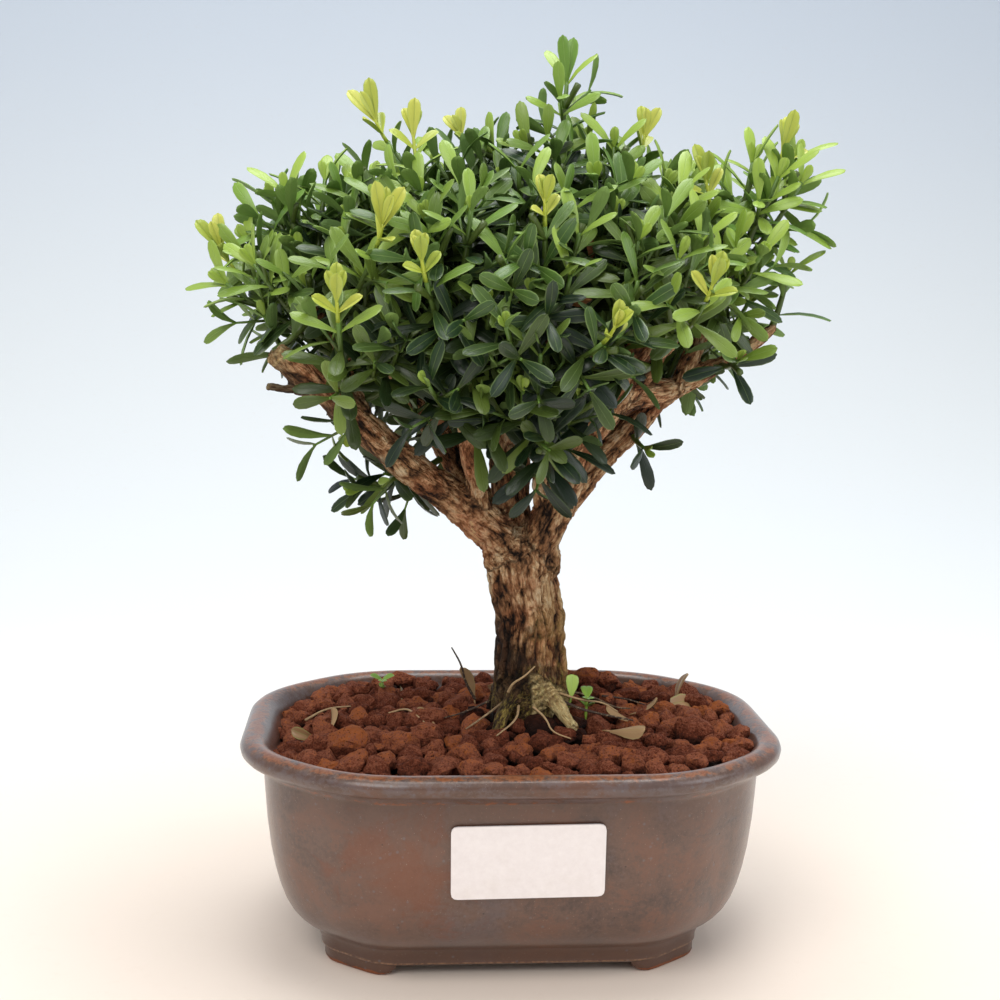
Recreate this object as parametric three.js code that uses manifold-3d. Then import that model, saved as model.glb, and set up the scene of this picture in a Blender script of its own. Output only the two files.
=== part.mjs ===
// A small boxwood bonsai in a glazed pot. Millimetres, +Z up.
// Positions are measured from the pot's middle, just above its feet, with the label's side facing -Y.
// The finished group is then moved so that the middle of its bounding box's bottom is the origin.
import * as THREE from "three";
import { mergeVertices } from "three/addons/utils/BufferGeometryUtils.js";
import Module from "manifold-3d";

const wasm = await Module();
wasm.setup();

const FIT = 0.3; // gap kept between two pieces that touch
const HOLE_FIT = 0.4; // gap round what stands in the soil

// Pot
const POT_WIDTH = 148.6;
const POT_DEPTH = 114.8;
const CHAMFER_X = 29.5;
const CHAMFER_Y = 26.5;
const CORNER_ROUND = 17;
const CHAMFER_SHRINK = 0.62; // what a chamfer loses for each millimetre of inset
const ROUND_SHRINK = 0.5;
const CORNER_STEPS = 3;
const FOOT_BASE_Z = -1.3;
const FOOT_HEIGHT = 3.2;
const FLOOR_Z = 9;
const FOOT_INSET = 22.6;
const FOOT_THICKNESS = 9;
const FOOT_STEPS = 2; // per corner of its outline
const FOOT_GAP_X = 24.2; // half the gap between the two front feet
const FOOT_GAP_Y = 12;
const DRAIN_RADIUS = 5;
const DRAIN_X = 24;
const SCREEN_SIDE = 18;
const SCREEN_THICKNESS = 1.2;
const SCREEN_HOLES = 2; // in a row
const SCREEN_OPEN = 0.7; // of each cell's width

// Height and inset from the rim's outline, up the outside of the pot.
const OUTER_PROFILE = [
  [FOOT_BASE_Z + FOOT_HEIGHT, 22.3], [7, 20.8], [8.7, 18.3], [13.5, 13.4], [26, 9.1], [42, 7],
  [53, 6.2], [54.2, 2.6], [57.2, 0], [60.2, 3],
];
// The same down the inside, from the lip to the floor.
const INNER_PROFILE = [[60, 5.8], [57.5, 8], [50, 11], [18, 17.5], [FLOOR_Z, 25]];

// Label
const LABEL_WIDTH = 39.5;
const LABEL_HEIGHT = 20.2;
const LABEL_CORNER = 1.8;
const LABEL_THICKNESS = 0.5;
const LABEL_X = 1.6;
const LABEL_Z = 36.4;
const LABEL_TURN = 0.75; // degrees, a little up to the right

// Soil
const SOIL_EDGE_Z = 57;
const SOIL_HEAP = 5.2;
const SOIL_HEAP_RADIUS = 20;
const SOIL_HEAP_PLACE = [7, 2];
const SOIL_LEFT_DROP = 2.6;
const GRAIN_STEP = 6.8;
const GRAIN_RISE = 2.2;
const GRAIN_SHIFT = 1.6; // how far a grain may lie from its place in the lattice, both ways together

// Trunk: x, height and radius of each ring. It leans back to the left as it rises.
const TRUNK_RINGS = [
  [5, 42, 6], [5.3, 54, 8.5], [5.5, 61.5, 11], [5.4, 66, 10.5], [5.2, 73, 9.6], [4.7, 90, 9.1],
  [2.9, 100, 9.5], [2.1, 107, 10.4], [1.8, 112, 9.2], [1.8, 117, 5.4],
];
const TRUNK_SIDES = 10;

// Branches and roots: centreline, radius at the start and the end, and sides.
const BRANCHES = {
  left_arm: {
    points: [[0, -1, 109], [-13, -6, 121], [-30, -14, 134], [-47, -22, 150], [-64, -27, 164]],
    radius: [6, 3.2], sides: 7, steps: 6,
  },
  left_rise: { points: [[-38, -18, 141], [-47, -16, 160], [-55, -12, 179]], radius: [2.5, 1.6] },
  left_cut_twig: { points: [[-52, -24, 154], [-59, -26, 154], [-66, -28, 155]], radius: [1.5, 1.1] },
  left_back: {
    points: [[-1, 4, 109], [-14, 15, 130], [-28, 23, 150], [-42, 26, 170], [-50, 24, 185]],
    radius: [4.6, 1.8], sides: 5, steps: 4,
  },
  left_front: {
    points: [[-8, -4, 117], [-13, -16, 139], [-17, -26, 160], [-21, -30, 177]],
    radius: [3, 1.6], steps: 3,
  },
  leader: {
    points: [[2, 1, 110], [-3, 5, 140], [0, 5, 170], [8, 4, 194], [12, 3, 210]],
    radius: [4.8, 1.7], sides: 5, steps: 4,
  },
  middle_front: {
    points: [[9, -4, 118], [6, -16, 138], [4, -26, 158], [5, -31, 176]],
    radius: [3, 1.5], steps: 3,
  },
  middle_stub: { points: [[14, -9, 133], [12, -7, 146], [12, -4, 157]], radius: [3.6, 3] },
  right_up: {
    points: [[6, -3, 108], [14, -8, 129], [20, -8, 143], [30, -5, 151], [44, 1, 154]],
    radius: [5.4, 3.2], sides: 6, steps: 5,
  },
  right_stub: { points: [[20, -8, 143], [28, -10, 156], [36, -10, 171]], radius: [4.4, 3.8], sides: 6 },
  right_low: {
    points: [[5, 2, 104], [17.5, 4, 125], [32, 5, 141], [45, 2, 154], [62, -2, 164], [72, -4, 172]],
    radius: [5, 1.5], sides: 6, steps: 6,
  },
  right_rise: { points: [[46, 1, 155], [53, 0, 172], [58, -4, 188]], radius: [2.6, 1.5] },
  right_front: { points: [[30, -4, 151], [35, -17, 160], [39, -28, 169]], radius: [2.6, 1.5] },
  right_top: { points: [[18, -5, 141], [21, 3, 168], [27, 4, 192]], radius: [3, 1.6] },
  back_right: {
    points: [[7, 4, 110], [20, 18, 130], [33, 26, 152], [41, 28, 173]],
    radius: [4.4, 1.8], sides: 5, steps: 3,
  },
  back_middle: {
    points: [[2, 4, 112], [3, 19, 136], [-1, 31, 158], [-2, 37, 177]],
    radius: [3.8, 1.7], sides: 5, steps: 3,
  },
  root_cut: { points: [[9, -5, 70], [13, -12, 66], [16.5, -19, 62]], radius: [2.6, 1.8] },
  root_left: { points: [[2, -5, 69], [-2, -12, 65], [-5, -18, 60]], radius: [2.6, 1.4] },
  root_back: { points: [[9, 7, 68], [15, 14, 64], [20, 20, 58.5]], radius: [2.8, 1.5] },
};
const BRANCH_SIDES = 4;
const BRANCH_STEPS = 2;

// Leafy sprays: the branch that each grows on, where along it, and where its stem ends.
// fresh is the leaf length of the lime shoot at its end, where it has one.
const SPRAYS = [
  { name: "crown", on: "leader", at: 1, tip: [13, 2, 237] },
  { name: "top_left", on: "leader", at: 0.62, tip: [-35.5, 4, 220], fresh: 14 },
  { name: "top_left_front", on: "left_front", at: 0.97, tip: [-28, -14, 214], fresh: 12 },
  { name: "top_middle", on: "leader", at: 0.8, tip: [-12, 12, 218], fresh: 9 },
  { name: "top_right", on: "right_top", at: 0.8, tip: [18, -24, 209] },
  { name: "top_right_back", on: "right_top", at: 1, tip: [34, 4, 217], fresh: 12 },
  { name: "front_lead", on: "left_front", at: 0.8, tip: [-15, -46, 200] },
  { name: "front_middle", on: "middle_front", at: 1, tip: [3, -45, 196], fresh: 9 },
  { name: "front_right", on: "middle_front", at: 0.72, tip: [17, -52, 168], fresh: 9 },
  { name: "front", on: "middle_front", at: 0.55, tip: [-7, -55, 172] },
  { name: "front_left", on: "left_front", at: 0.7, tip: [-26, -52, 182], fresh: 10 },
  { name: "front_low_left", on: "left_front", at: 0.45, tip: [-25, -46, 157] },
  { name: "front_low", on: "middle_front", at: 0.25, tip: [5, -42, 144] },
  { name: "left_front_high", on: "left_rise", at: 0.72, tip: [-38, -43, 190], fresh: 15 },
  { name: "left_front_low", on: "left_arm", at: 0.72, tip: [-47, -48, 172], fresh: 12 },
  { name: "left_end", on: "left_rise", at: 0.55, tip: [-75, -14, 184.5], fresh: 12 },
  { name: "left_high", on: "left_rise", at: 1, tip: [-66, -2, 203] },
  { name: "left_low", on: "left_arm", at: 0.9, tip: [-67, -19, 173] },
  { name: "left_under", on: "left_back", at: 0.3, tip: [-42, 4, 125] },
  { name: "right_high", on: "right_rise", at: 1, tip: [50, -15, 204], fresh: 12 },
  { name: "right_horn", on: "right_rise", at: 0.8, tip: [71, -1, 214], fresh: 13 },
  { name: "right_middle", on: "right_rise", at: 0.55, tip: [62, -25, 191] },
  { name: "right_out", on: "right_low", at: 0.97, tip: [75, -4, 187] },
  { name: "right_front", on: "right_front", at: 1, tip: [43, -46, 178], fresh: 12 },
  { name: "right_low", on: "right_low", at: 0.74, tip: [58.5, -18, 163] },
  { name: "right_under", on: "right_low", at: 0.42, tip: [36, -5, 138] },
  { name: "back_top_left", on: "left_back", at: 0.95, tip: [-40, 32, 212] },
  { name: "back_top_right", on: "back_right", at: 1, tip: [24, 33, 212] },
  { name: "back_left", on: "left_back", at: 0.8, tip: [-66, 33, 190] },
  { name: "back_left_low", on: "left_back", at: 0.5, tip: [-54, 36, 159] },
  { name: "back_middle_left", on: "back_middle", at: 0.9, tip: [-22, 56, 190] },
  { name: "back_middle_right", on: "back_middle", at: 0.78, tip: [16, 57, 186] },
  { name: "back_low", on: "back_middle", at: 0.5, tip: [-14, 52, 154] },
  { name: "back_low_right", on: "back_right", at: 0.45, tip: [26, 50, 152] },
  { name: "back_right", on: "back_right", at: 0.9, tip: [54, 40, 189] },
  { name: "back_right_low", on: "back_right", at: 0.7, tip: [60, 32, 163] },
];
const STEM_SAG = 0.14; // of the stem's length, so that its end turns up
const STEM_RADIUS = [1.4, 1];
const STEM_STEPS = 3;
const PAIR_STEP = 6.6; // between pairs of leaves
const END_GAP = 1; // from a stem's end to its last pair
const FRESH_GAP = 3; // the same below a fresh shoot
const FRESH_LOWER_GAP = 4.4; // the same for the second pair of a fresh shoot
const MAIN_PAIRS = 3;
const TWIG_AT = 0.55; // of the stem's length
const TWIG_PAIRS = 2;
const TWIG_LEAF = 0.92; // size of its leaves, against the others
const TWIG_LEAST = 20; // a stem shorter than this has no twig
const TWIG_LENGTH = 13;
const TWIG_RADIUS = [1, 0.9];
const TWIG_ANGLE = 48; // degrees off the stem
const FRESH_STEM = 7;
const FRESH_LEAN = 0.4; // how far a fresh shoot's end turns up, from 0 to 1
const FRESH_LOWER = 0.8; // size of its lower pair
const FRESH_ANGLE = 0.8; // its end pair stands closer than on a green spray

// One leaf: share of the length and half width as a share of the width, at its two wide sections.
const LEAF_LENGTH = 15;
const LEAF_WIDTH = 4.8;
const LEAF_THICKNESS = 1.1;
const LEAF_SECTIONS = [[0.4, 0.36], [0.76, 0.5]];
const LEAF_TIP = 0.19; // half width of the blunt tip
const LEAF_ARCH = 0.16; // how far the tip bends down, of the length
const LEAF_ROOT = 0.3; // how far it starts behind the stem's axis
const POCKET = [1.6, 0.4, 0.2]; // a fallen leaf's pocket: wider, thicker, and longer as a share
const LEAF_ANGLES = [26, 48, 60, 64]; // degrees off the stem, from the end pair down
const END_PAIR = 0.86; // size of the pair at a stem's end, against the others
const SIZE_SPREAD = 0.24;
const TILT_SPREAD = 12; // degrees
const TURN_SPREAD = 0.08; // half turns
const LEAF_CLEARANCE = 1.25; // between the middle planes of two leaves
const EDGE_CLEARANCE = 0.6; // beside a leaf's edge
const STEM_CLEARANCE = 0.9; // between a leaf's middle plane and another stem's surface

// How a leaf that would cross something is bent: degrees off the stem, and about it.
const BENDS = [
  [0, 0], [14, 0], [-14, 0], [0, 25], [0, -25], [14, 25], [-14, -25], [28, 0], [0, 50], [0, -50],
];

// Seedlings and fallen leaves
const SEEDLING_ROOT = 6;
const SEEDLING_RADIUS = [0.9, 0.7];
const SEEDLING_ANGLE = 66; // degrees off the stem
const SEEDLING_BROAD = 0.62; // width of its leaves as a share of their length
const FALLEN_RISE = 1.3; // over the hollows between the grains
const FALLEN_TILT = 0.1;

const COLOURS = {
  pot: 0x5c4740, label: 0xf3f1ee, soil: 0x7c3c27, screen: 0x26282a, wood: 0x94765a,
  leaf: 0x2c5726, fresh: 0xa3bf3c, seedling: 0x6aa83a, fallen: 0x8b8547,
};

// Small helpers

const vector = (p) => new THREE.Vector3(...p);
const radians = THREE.MathUtils.degToRad;

// A repeatable draw from 0 to 1 for any set of whole numbers.
function draw(...keys) {
  let h = 2166136261;
  for (const key of keys) {
    h = Math.imul(h ^ (key + 374761393), 16777619);
    h ^= h >>> 15;
    h = Math.imul(h, 2246822519);
    h ^= h >>> 13;
  }
  return (h >>> 0) / 4294967296;
}

function material(colour, roughness) {
  return new THREE.MeshStandardMaterial({ color: colour, roughness, metalness: 0 });
}

// A closed mesh from a list of corners and a list of faces, each a list of corner numbers.
function polyhedron(corners, faces) {
  const index = [];
  for (const face of faces) {
    for (let i = 1; i + 1 < face.length; i++) index.push(face[0], face[i], face[i + 1]);
  }
  const geometry = new THREE.BufferGeometry().setFromPoints(corners);
  geometry.setIndex(index);
  return geometry;
}

// A skin through rings of equal length, closed by a flat face at both ends.
function loft(rings) {
  const n = rings[0].length;
  const faces = [rings[0].map((_, i) => n - 1 - i)];
  for (let k = 0; k + 1 < rings.length; k++) {
    for (let i = 0; i < n; i++) {
      const j = (i + 1) % n;
      faces.push([k * n + i, k * n + j, (k + 1) * n + j, (k + 1) * n + i]);
    }
  }
  faces.push(rings[0].map((_, i) => (rings.length - 1) * n + i));
  return polyhedron(rings.flat(), faces);
}

function solid(geometry) {
  const bare = geometry.clone();
  bare.deleteAttribute("normal");
  bare.deleteAttribute("uv");
  const merged = mergeVertices(bare, 1e-4);
  const vertProperties = merged.attributes.position.array;
  const triVerts = new Uint32Array(merged.index.array);
  return new wasm.Manifold(new wasm.Mesh({ numProp: 3, vertProperties, triVerts }));
}

function meshOf(name, shape, look) {
  const data = shape.getMesh();
  const positions = new Float32Array(data.numVert * 3);
  for (let i = 0; i < data.numVert; i++) {
    positions.set(data.vertProperties.subarray(i * data.numProp, i * data.numProp + 3), i * 3);
  }
  const geometry = new THREE.BufferGeometry();
  geometry.setAttribute("position", new THREE.BufferAttribute(positions, 3));
  geometry.setIndex(new THREE.BufferAttribute(data.triVerts, 1));
  const mesh = new THREE.Mesh(geometry, look);
  mesh.name = name;
  return mesh;
}

// Pot

// The rim's outline, a chamfered rectangle with round corners, moved inwards by an inset.
function potOutline(inset, steps = CORNER_STEPS) {
  const x = POT_WIDTH / 2 - inset;
  const y = POT_DEPTH / 2 - inset;
  const cx = CHAMFER_X - CHAMFER_SHRINK * inset;
  const cy = CHAMFER_Y - CHAMFER_SHRINK * inset;
  const corners = [
    [x, cy - y], [x, y - cy], [x - cx, y], [cx - x, y],
    [-x, y - cy], [-x, cy - y], [cx - x, -y], [x - cx, -y],
  ].map(([a, b]) => new THREE.Vector2(a, b));
  const points = [];
  corners.forEach((corner, i) => {
    const before = corners[(i + 7) % 8];
    const after = corners[(i + 1) % 8];
    const round = (other) => {
      const reach = Math.min(CORNER_ROUND - ROUND_SHRINK * inset, other.distanceTo(corner) / 2 - 0.05);
      return corner.clone().add(other.clone().sub(corner).setLength(reach));
    };
    const curve = new THREE.QuadraticBezierCurve(round(before), corner, round(after));
    points.push(...curve.getPoints(steps));
  });
  return points;
}

const potRing = ([z, inset]) => potOutline(inset).map((p) => new THREE.Vector3(p.x, p.y, z));

// The inset of the pot's wall at a height, inside or outside.
function insetAt(profile, z) {
  const sorted = [...profile].sort((a, b) => a[0] - b[0]);
  const i = Math.max(1, sorted.findIndex((p) => p[0] >= z));
  const [low, high] = [sorted[i - 1], sorted[i]];
  return low[1] + ((high[1] - low[1]) * (z - low[0])) / (high[0] - low[0]);
}

function box(width, depth, height, x, y, z) {
  return new THREE.BoxGeometry(width, depth, height).translate(x, y, z);
}

function potFeet() {
  const shape = new THREE.Shape(potOutline(FOOT_INSET, FOOT_STEPS));
  shape.holes.push(new THREE.Path(potOutline(FOOT_INSET + FOOT_THICKNESS, 1)));
  const band = new THREE.ExtrudeGeometry(shape, { depth: FOOT_HEIGHT + 1, bevelEnabled: false });
  const gapX = box(2 * FOOT_GAP_X, POT_DEPTH, FOOT_HEIGHT + 4, 0, 0, FOOT_HEIGHT / 2);
  const gapY = box(POT_WIDTH, 2 * FOOT_GAP_Y, FOOT_HEIGHT + 4, 0, 0, FOOT_HEIGHT / 2);
  return solid(band).subtract(solid(gapX)).subtract(solid(gapY)).translate(0, 0, FOOT_BASE_Z);
}

function potShape() {
  let shape = solid(loft([...OUTER_PROFILE, ...INNER_PROFILE].map(potRing))).add(potFeet());
  for (const side of [-1, 1]) {
    const drain = new THREE.CylinderGeometry(DRAIN_RADIUS, DRAIN_RADIUS, 2 * FLOOR_Z, 8);
    drain.rotateX(Math.PI / 2).translate(side * DRAIN_X, 0, FLOOR_Z);
    shape = shape.subtract(solid(drain));
  }
  return shape;
}

// A plastic screen over a drain hole; grown by a gap on every side, it is the space that it takes.
function screenPanel(side, grow) {
  const z = FLOOR_Z + FIT + SCREEN_THICKNESS / 2;
  const width = SCREEN_SIDE + 2 * grow;
  const height = SCREEN_THICKNESS + 2 * grow;
  let panel = solid(box(width, width, height, side * DRAIN_X, 0, z));
  if (grow > 0) return panel;
  const cell = SCREEN_SIDE / SCREEN_HOLES;
  for (let i = 0; i < SCREEN_HOLES * SCREEN_HOLES; i++) {
    const x = side * DRAIN_X + ((i % SCREEN_HOLES) - (SCREEN_HOLES - 1) / 2) * cell;
    const y = (Math.floor(i / SCREEN_HOLES) - (SCREEN_HOLES - 1) / 2) * cell;
    panel = panel.subtract(solid(box(SCREEN_OPEN * cell, SCREEN_OPEN * cell, 2 * height, x, y, z)));
  }
  return panel;
}

function labelMesh() {
  const x = LABEL_WIDTH / 2;
  const y = LABEL_HEIGHT / 2;
  const r = LABEL_CORNER;
  const shape = new THREE.Shape();
  shape.moveTo(r - x, -y);
  shape.lineTo(x - r, -y);
  shape.quadraticCurveTo(x, -y, x, r - y);
  shape.lineTo(x, y - r);
  shape.quadraticCurveTo(x, y, x - r, y);
  shape.lineTo(r - x, y);
  shape.quadraticCurveTo(-x, y, -x, y - r);
  shape.lineTo(-x, r - y);
  shape.quadraticCurveTo(-x, -y, r - x, -y);
  const options = { depth: LABEL_THICKNESS, bevelEnabled: false, curveSegments: 3 };
  const geometry = new THREE.ExtrudeGeometry(shape, options);
  const lower = insetAt(OUTER_PROFILE, LABEL_Z - y);
  const upper = insetAt(OUTER_PROFILE, LABEL_Z + y);
  const mesh = meshOf("label", solid(geometry), material(COLOURS.label, 0.45));
  mesh.rotation.set(Math.PI / 2 + Math.atan2(lower - upper, LABEL_HEIGHT), 0, 0);
  mesh.rotateZ(radians(LABEL_TURN));
  mesh.position.set(LABEL_X, (lower + upper) / 2 - POT_DEPTH / 2 - 2 * FIT, LABEL_Z);
  return mesh;
}

// Wood

function branchCurve(name) {
  return new THREE.CatmullRomCurve3(BRANCHES[name].points.map(vector), false, "catmullrom", 0.5);
}

// Rings of a few sides along a curve, with the radius going from one value to another.
function tube(curve, [start, end], sides, steps, grow = 0) {
  const frames = curve.computeFrenetFrames(steps, false);
  const rings = [];
  for (let k = 0; k <= steps; k++) {
    const centre = curve.getPointAt(k / steps);
    const radius = start + ((end - start) * k) / steps + grow;
    const ring = [];
    for (let i = 0; i < sides; i++) {
      const a = (2 * Math.PI * i) / sides;
      const across = frames.normals[k].clone().multiplyScalar(Math.cos(a) * radius);
      across.addScaledVector(frames.binormals[k], Math.sin(a) * radius);
      ring.push(centre.clone().add(across));
    }
    rings.push(ring);
  }
  return loft(rings);
}

// The trunk's rings are lobed, because boxwood grows in strands that run down into the roots.
function trunkColumn(grow) {
  const rings = TRUNK_RINGS.map(([x, z, radius], k) => {
    const ring = [];
    for (let i = 0; i < TRUNK_SIDES; i++) {
      const a = (2 * Math.PI * i) / TRUNK_SIDES;
      const lobes = 1 + 0.08 * Math.sin(3 * a + 0.4 + 0.1 * k) + 0.06 * Math.sin(5 * a + 2 - 0.15 * k);
      const reach = radius * lobes + grow;
      ring.push(new THREE.Vector3(x + reach * Math.cos(a), 0.94 * reach * Math.sin(a), z));
    }
    return ring;
  });
  return solid(loft(rings));
}

function woodShape(grow) {
  let shape = trunkColumn(grow);
  for (const [name, { radius, sides = BRANCH_SIDES, steps = BRANCH_STEPS }] of Object.entries(BRANCHES)) {
    shape = shape.add(solid(tube(branchCurve(name), radius, sides, steps, grow)));
  }
  return shape;
}

// Leaves

// The direction across a stem at a turn about it, counted from level.
function acrossStem(tangent, turn) {
  const side = new THREE.Vector3(0, 0, 1).cross(tangent).normalize();
  const front = tangent.clone().cross(side);
  return side.multiplyScalar(Math.cos(turn)).addScaledVector(front, Math.sin(turn));
}

// A square stem, as boxwood has, whose flat sides face the four ways that its leaves point.
function stemSolid(stem, [start, end], steps, turn) {
  const rings = [];
  for (let k = 0; k <= steps; k++) {
    const tangent = stem.getTangent(k / steps);
    const radius = start + ((end - start) * k) / steps;
    const corner = (i) => stem.getPoint(k / steps)
      .addScaledVector(acrossStem(tangent, turn + (Math.PI * (2 * i + 1)) / 4), radius);
    rings.push([0, 1, 2, 3].map(corner));
  }
  return solid(loft(rings));
}

// Where a leaf lies: its root on a stem, its direction, its upper side, its length and its width.
function leafPose(stem, along, turn, angle, length, width) {
  const t = stem.getTangent(along);
  const across = acrossStem(t, turn);
  const out = t.clone().multiplyScalar(Math.cos(angle)).addScaledVector(across, Math.sin(angle));
  const up = t.addScaledVector(out, -t.dot(out)).normalize();
  const flank = out.clone().cross(up);
  return { root: stem.getPoint(along), out, up, flank, length, width };
}

// A point on a leaf: share of its length, offset to the side, offset above its arched middle plane.
function leafPoint(leaf, share, sideways, above) {
  const p = leaf.root.clone().addScaledVector(leaf.out, share * leaf.length - LEAF_ROOT * (1 - share));
  p.addScaledVector(leaf.flank, sideways);
  return p.addScaledVector(leaf.up, above - LEAF_ARCH * leaf.length * share * share);
}

// A leaf's blade, with a flat upper side and a keel below. A pocket is larger than its leaf all
// round, and most at the thin edges and ends.
function leafSolid(leaf, [wider, thicker, longer] = [0, 0, 0]) {
  const corners = [leafPoint(leaf, -longer, 0, 0)];
  for (const [share, reach] of LEAF_SECTIONS) {
    const w = reach * leaf.width + wider;
    corners.push(leafPoint(leaf, share, -w, LEAF_THICKNESS / 3 + thicker));
    corners.push(leafPoint(leaf, share, 0, -thicker - (2 * LEAF_THICKNESS) / 3));
    corners.push(leafPoint(leaf, share, w, LEAF_THICKNESS / 3 + thicker));
  }
  const tip = LEAF_TIP * leaf.width + wider;
  corners.push(leafPoint(leaf, 1 + longer, -tip, 0), leafPoint(leaf, 1 + longer, tip, 0));
  const faces = [
    [0, 1, 2], [0, 2, 3], [0, 3, 1],
    [1, 4, 5, 2], [2, 5, 6, 3], [3, 6, 4, 1],
    [4, 7, 5], [5, 7, 8], [5, 8, 6], [6, 8, 7, 4],
  ];
  return solid(polyhedron(corners, faces));
}

// Half the leaf's width at a share of its length.
function halfWidth(leaf, share) {
  const stations = [[0, 0.1], ...LEAF_SECTIONS, [1, LEAF_TIP]];
  const i = Math.max(1, stations.findIndex((s) => s[0] >= share));
  const [a, b] = [stations[i - 1], stations[i] ?? stations[stations.length - 1]];
  return leaf.width * (a[1] + ((b[1] - a[1]) * (share - a[0])) / Math.max(b[0] - a[0], 1e-6));
}

function leafSamples(leaf) {
  const samples = [];
  for (let share = 0.2; share <= 1.001; share += 0.1) {
    for (const side of [-1, 0, 1]) samples.push(leafPoint(leaf, share, side * halfWidth(leaf, share), 0));
  }
  return samples;
}

// Whether any sample lies in the space that a leaf takes up.
function hits(leaf, samples) {
  const d = new THREE.Vector3();
  return samples.some((p) => {
    d.subVectors(p, leaf.root);
    const share = (d.dot(leaf.out) + LEAF_ROOT) / (leaf.length + LEAF_ROOT);
    if (share < 0.1 || share > 1.06) return false;
    const above = d.dot(leaf.up) + LEAF_ARCH * leaf.length * share * share;
    if (Math.abs(above) > LEAF_CLEARANCE) return false;
    return Math.abs(d.dot(leaf.flank)) < halfWidth(leaf, Math.min(share, 1)) + EDGE_CLEARANCE;
  });
}

// Sprays

function samplesOf(curve, [start, end], count, owner) {
  return Array.from({ length: count + 1 }, (_, i) => ({
    point: curve.getPoint(i / count),
    radius: start + ((end - start) * i) / count,
    owner,
  }));
}

// A stem starts on its branch, bows down a little and turns up at its end.
function sprayStem({ on, at, tip }) {
  const start = branchCurve(on).getPoint(at);
  const end = vector(tip);
  const middle = start.clone().lerp(end, 0.5);
  middle.z -= STEM_SAG * start.distanceTo(end);
  return new THREE.QuadraticBezierCurve3(start, middle, end);
}

function twigCurve(stem, number) {
  const start = leafPose(stem, TWIG_AT, 2 * Math.PI * draw(number, 7), radians(TWIG_ANGLE), 1, 1);
  return new THREE.LineCurve3(start.root, start.root.clone().addScaledVector(start.out, TWIG_LENGTH));
}

// Pairs of leaves down a stem from its end, each turned a quarter from the one before.
function leafPairs(stem, pairs, first, endGap, size, seed) {
  const length = stem.getLength();
  const leaves = [];
  for (let k = 0; k < pairs; k++) {
    const along = 1 - (endGap + k * PAIR_STEP) / length;
    if (along < 0.12) break;
    for (const side of [0, 1]) {
      const spread = (kind) => draw(seed, k, side, kind) - 0.5;
      const turn = Math.PI * (first + 0.5 * k + side + TURN_SPREAD * spread(1));
      const angle = LEAF_ANGLES[Math.min(k + (endGap > END_GAP ? 1 : 0), LEAF_ANGLES.length - 1)];
      const tilt = radians(angle + TILT_SPREAD * spread(2));
      const scale = size * (1 + SIZE_SPREAD * spread(3)) * (k === 0 ? END_PAIR : 1);
      const pose = [along, turn, tilt, LEAF_LENGTH * scale, (LEAF_WIDTH * (1 + scale)) / 2];
      leaves.push({ stem, pose });
    }
  }
  return leaves;
}

const plans = SPRAYS.map((spray, number) => {
  const stem = sprayStem(spray);
  const first = draw(number, 11) * 2;
  const twigs = stem.getLength() > TWIG_LEAST ? [twigCurve(stem, number)] : [];
  const endGap = spray.fresh ? FRESH_GAP : END_GAP;
  const leaves = leafPairs(stem, MAIN_PAIRS, first, endGap, 1, number * 100);
  for (const twig of twigs) {
    leaves.push(...leafPairs(twig, TWIG_PAIRS, first, END_GAP, TWIG_LEAF, number * 100 + 10));
  }
  return { spray, number, stem, twigs, leaves, first };
});

// A fresh shoot stands on the end of its spray's stem, a fitting gap away.
const freshPlans = plans.filter(({ spray }) => spray.fresh).map((plan) => {
  const direction = plan.stem.getTangent(1);
  const start = plan.stem.getPoint(1).addScaledVector(direction, FIT);
  const lean = direction.clone().lerp(new THREE.Vector3(0, 0, 1), FRESH_LEAN).normalize();
  const middle = start.clone().addScaledVector(direction, FRESH_STEM / 2);
  const end = middle.clone().addScaledVector(lean, FRESH_STEM / 2);
  const stem = new THREE.QuadraticBezierCurve3(start, middle, end);
  const size = plan.spray.fresh / LEAF_LENGTH;
  const first = draw(plan.number, 12) * 2;
  const seed = plan.number * 100 + 50;
  const leaves = leafPairs(stem, 1, first, END_GAP, size, seed);
  for (const leaf of leaves) leaf.pose[2] *= FRESH_ANGLE;
  leaves.push(...leafPairs(stem, 1, first + 0.5, FRESH_LOWER_GAP, size * FRESH_LOWER, seed + 10));
  return { spray: plan.spray, stem, twigs: [], leaves, first, fresh: true };
});

const woodSamples = Object.keys(BRANCHES).flatMap((name) =>
  samplesOf(branchCurve(name), BRANCHES[name].radius, 16, "wood"));
const stemSamples = [...plans, ...freshPlans].flatMap((plan) =>
  [plan.stem, ...plan.twigs].flatMap((curve) => samplesOf(curve, STEM_RADIUS, 12, curve)));
const obstacles = [...woodSamples, ...stemSamples];
const placed = [];

// The first of a few bent poses in which a leaf clears all other leaves, stems and branches.
function placeLeaf({ stem, pose: [along, turn, angle, length, width] }) {
  for (const [tilt, swing] of BENDS) {
    const leaf = leafPose(stem, along, turn + radians(swing), angle + radians(tilt), length, width);
    const samples = leafSamples(leaf);
    const stemHit = obstacles.some(({ point, radius, owner }) => owner !== stem
      && samples.some((p) => p.distanceTo(point) < radius + STEM_CLEARANCE));
    if (stemHit) continue;
    const near = placed.filter((other) => other.leaf.root.distanceTo(leaf.root) < 2.4 * LEAF_LENGTH);
    if (near.some((other) => hits(other.leaf, samples) || hits(leaf, other.samples))) continue;
    placed.push({ leaf, samples });
    return leaf;
  }
  return null;
}

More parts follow.
